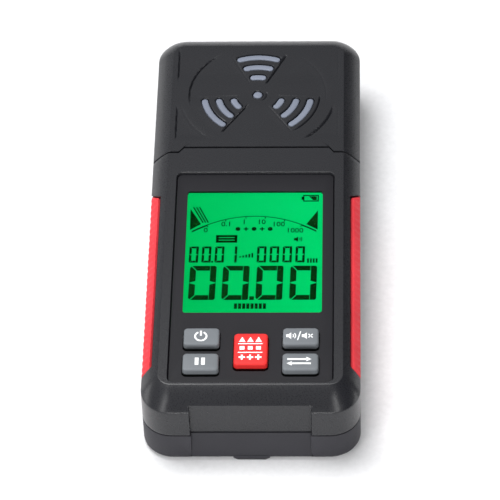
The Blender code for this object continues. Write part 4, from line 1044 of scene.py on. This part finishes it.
def figure(x, y, w, h, stroke, parts="abcdef", lean=0.02):
    """Seven-part figure, w by h from its lower left corner: leaning flat outlines, lower ones mirrored."""
    k = stroke / 1.95
    gap, inner, half = 0.12 * k, w - stroke, h / 2
    upper = {"a": [(0.75 * k, h), (inner - gap, h), (inner - gap, h - stroke),
                   (stroke + 0.3 * k, h - stroke)],
             "f": [(0, h - 0.9 * k), (0.45 * k, h - 0.25 * k), (stroke, h - stroke - 0.1 * k),
                   (stroke, half + 0.8 * k), (0, half + gap)],
             "b": [(inner, h), (w - 0.5 * k, h), (w, h - 0.5 * k), (w, half + gap), (inner, half + 0.8 * k)]}
    mirrored = {"d": "a", "e": "f", "c": "b"}
    made = []
    for part in parts:
        flat = np.array(upper[mirrored.get(part, part)])
        if part in mirrored:
            flat = flat * (1, -1) + (0, h)
        made.append(prism(flat + beside(lean * flat[:, 1], 0) + (x, y), INK))
    return made


def scale_y(x):
    """Height of the display's scale at x: a flat parabola."""
    return -2.05 - 0.0165 * x * x


def scale_marks():
    """Scale of the display: its arc with ticks and numbers, the end wedges and the needle lines."""
    x = np.linspace(-19.8, 19.6, 60)
    scale = beside(x, scale_y(x))
    marks = [ribbon(scale, 0.26, INK)]
    marks += [ribbon(run - (0, 0.3), 0.3, INK) for run in (scale[:8], scale[-8:])]
    for at in (-15.1, -9.3, -2.8, 3.4, 9.6, 15):
        marks.append(line((at, scale_y(at)), (at * 0.975, scale_y(at) - 0.85), 0.3, INK))
    for text, at, y in (("0", -15.4, -8.1), ("0.1", -8.9, -5.5), ("1", -3.3, -4.6), ("10", 2.2, -4.6),
                        ("100", 7.6, -5.6), ("1000", 12.8, -8.3)):
        marks.append(lettered(text, 2.75, at, y, INK))
    marks += [prism([(-20.5, 1.2), (-20.4, -7.9), (-17, -5.4)], INK),
              prism([(20.05, 0.4), (16.4, -5.5), (20, -7.85)], INK)]
    return marks + [line((-19.55 + 0.95 * k, 1.9), (-16.35 + 0.83 * k, -4.75), 0.42, INK) for k in range(3)]


def display_marks():
    """All marks of the display: scale, battery and sound signs, dots, plus signs, a barred box, figures and
    rows of plain blocks at a set pitch, some of them rising."""
    battery = [(14.8, 5.05, 15.4, 6.35), (15.3, 4.3, 20.3, 4.7), (15.3, 6.7, 20.3, 7.1),
               (15.3, 4.3, 15.7, 7.1), (19.9, 4.3, 20.3, 7.1)]
    barred = [(-12.05, -13.4, -5.3, -12.5), (-12.05, -12.15, -5.3, -11.4), (-12.05, -11.05, -5.3, -10.2),
              (-12.05, -13.4, -11.2, -10.2), (-6.15, -13.4, -5.3, -10.2)]
    dots = [(-13.3, -21.85, -12.7, -21.2), (-1.05, -37.5, 0.45, -36.05)]
    blocks = battery + barred + dots
    for at in (-2.65, 2.45):
        blocks += [(at - 0.75, -7.78, at + 0.75, -7.32), (at - 0.2, -8.35, at + 0.2, -6.75)]
    for (x0, y0, x1, y1), pitch, rise, count in (((-4.5, -19.75, -3.95, -19.2), 0.95, 0.33, 5),
                                                 ((16.8, -22, 17.35, -20.2), 0.9, 0, 4),
                                                 ((-5.7, -41.2, -4.75, -39), 1.28, 0, 8)):
        blocks += [(x0 + pitch * k, y0, x1 + pitch * k, y1 + rise * k) for k in range(count)]
    marks = scale_marks() + [block(*corner, INK) for corner in blocks]
    marks.append(prism([(17.2, 6.5), (19.65, 6.5), (19.65, 4.9), (18.5, 4.9)], INK))
    marks += [drum(at, -7.55, 0.8, INK, 24) for at in (-5.2, -0.1, 5)]
    marks += speaker(13.9, -12, 1.35, INK)
    for at in (-20.4, -16.4, -12.3, 0.95, 4.95, 9, 13.05):
        marks += figure(at, -21.85, 2.95, 6.8, 0.78)
    marks += figure(-8.25, -21.85, 2.95, 6.8, 0.78, "bc")
    for at in (-20.1, -9.75, 0.85, 11.35):
        marks += figure(at, -37.5, 8.35, 14.2, 1.95)
    points, faces = gathered(marks)
    return points - (0, 0.2, 0), faces


# Pieces round the frame

piece("front_shell", front_shell(), "case_plastic", "front_cover")
piece("head_shell", head_shell(), "case_plastic", "head_cover")
piece("grip_band_left", grip(-1), "grip_rubber", "grip_left")
piece("grip_band_right", grip(1), "grip_rubber", "grip_right")
piece("trefoil_bars", slot_bars(), "slot_grey", "grille_insert")
piece("back_shell", back_shell(), "end_plastic", "back_cover")
piece("sliding_door", door(), "end_plastic", "battery_door", "battery_door")
for index, (x, y) in enumerate(SCREWS, 1):
    piece(f"back_screw_{index}", back_screw(x, y), "screw_steel", f"case_screw_{index}")
for index, way in ((1, 1), (2, -1), (3, 1)):
    low, high = corners(f"cell_{index}")
    x = (low[0] + high[0]) / 2
    flat_end = low[1] if way > 0 else high[1]
    piece(f"round_cell_{index}", cell(x, flat_end, way), "cell_wrap", f"cell_{index}")
    piece(f"wire_spring_{index}", spring(x, flat_end, way), "plated_steel", f"contact_spring_{index}")
piece("panel_plate", panel_plate(), "panel_film", "face_plate")
window = plate(WINDOW_HALF - GAP, WINDOW_LOW + GAP, WINDOW_HIGH - GAP, WINDOW_RADIUS - GAP, Z_PLATE - 1,
               Z_PLATE, edge=0.12, corner=10)
piece("window_pane", window, "window_clear", "display_lens")
low, high = corners("lcd_glass")
glass = plate(high[0], low[1], high[1], 0.6, low[2], high[2], edge=0.1)
piece("display_face", glass, "display_glow", "lcd_glass")
piece("display_marks", display_marks(), "display_ink")
for name in KEYS:
    piece(name + "_cap", key_cap(name), "red_rubber" if name == "mode_key" else "grey_rubber", name, name)
for name, shapes in key_signs().items():
    points, faces = gathered(shapes)
    piece(name + "_print", (points + (*key_place(name)[0], 0), faces), "key_print", body=name)

# Finishes of the inner nodes that keep their own shape
INNER = {"lcd_holder": "white_plastic", "light_guide": "white_plastic", "contact_strip": "strip_rubber",
         "main_board": "green_board", "sensor_board": "green_board", "main_chip": "black_plastic",
         "step_up_coil": "black_plastic", "buzzer": "black_plastic", "link_header": "black_plastic",
         "hv_capacitor": "cell_wrap", "geiger_tube": "drawn_steel"}
for name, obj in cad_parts.items():
    finish = "black_plastic" if name.startswith("switch_") else INNER.get(name, "plated_steel")
    obj.data.materials.clear()
    obj.data.materials.append(FINISH[finish])


# Floor, light and camera

def floor():
    """Wide pale floor under the object: a disc of rings, its finish cloudy and matt."""
    reach = np.array([0.05, 100, 400, 1500])
    rings = lifted(reach[:, None, None] * circle(64), np.full(4, -0.05))
    mesh = to_mesh((rings.reshape(-1, 3), [ring_quads(4, 64), np.arange(64)[None, ::-1]]))
    mesh.materials.append(coated("floor_pale", moulded, (0.82, 0.82, 0.83), 2, 0.02, (0.7, 0.85), 0.02, 0))
    placed("floor", mesh)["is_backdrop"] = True


def soft_light(name, place, target, width, height, power):
    """Soft light at a place in millimetres, width by height, its height upright, turned towards a target."""
    light = bpy.data.lights.new(name, "AREA")
    light.shape = "RECTANGLE"
    light.size = width * MM
    light.size_y = height * MM
    light.energy = power
    obj = placed(name, light)
    obj.location = Vector(place) * MM
    obj.rotation_euler = (Vector(target) - Vector(place)).to_track_quat("-Z", "Y").to_euler()


def studio():
    """Pale surroundings, brightest on the left and darkest on the right and towards the camera."""
    world = bpy.data.worlds.new("studio")
    bpy.context.scene.world = world
    world.use_nodes = True
    tree = world.node_tree
    way = node(tree, "TexCoord", "Generated")
    strength = between(tree, leaning(tree, way, (-0.6, 0.3, 0)), 0.07, 0.52, -0.15, 0.2)
    fill(tree, tree.nodes["Background"], {"Strength": strength, "Color": (0.95, 0.97, 1, 1)})


def camera():
    """Camera at the photo's angle: turned, tipped and rolled, then drawn back from its target."""
    turn = Matrix.Rotation(-CAMERA_TURN, 3, "Z") @ Matrix.Rotation(pi / 2 - CAMERA_RISE, 3, "X")
    turn = turn @ Matrix.Rotation(CAMERA_ROLL, 3, "Z")
    data = bpy.data.cameras.new("camera")
    data.sensor_width = 36
    data.lens = CAMERA_LENS
    data.clip_end = 50
    obj = placed("camera", data)
    place = (Vector(CAMERA_TARGET) + turn @ Vector((0, 0, CAMERA_REACH))) * MM
    obj.matrix_world = Matrix.Translation(place) @ turn.to_4x4()
    bpy.context.scene.camera = obj


floor()
camera()
soft_light("key_light", (-150, 110, 800), (0, 0, 10), 480, 480, 7.2)
soft_light("left_light", (-820, 40, 170), (0, 0, 10), 500, 220, 1.1)
soft_light("right_light", (800, -20, 100), (0, 0, 15), 400, 140, 0.8)
soft_light("front_light", (0, -790, 230), (0, -60, 15), 500, 100, 3.1)
soft_light("left_strip", (-320, -530, 480), (0, -70, 15), 80, 520, 1.1)
soft_light("right_strip", (270, -545, 480), (0, -70, 15), 80, 520, 1.2)
studio()
bpy.context.scene.view_settings.view_transform = "Standard"

low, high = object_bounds()
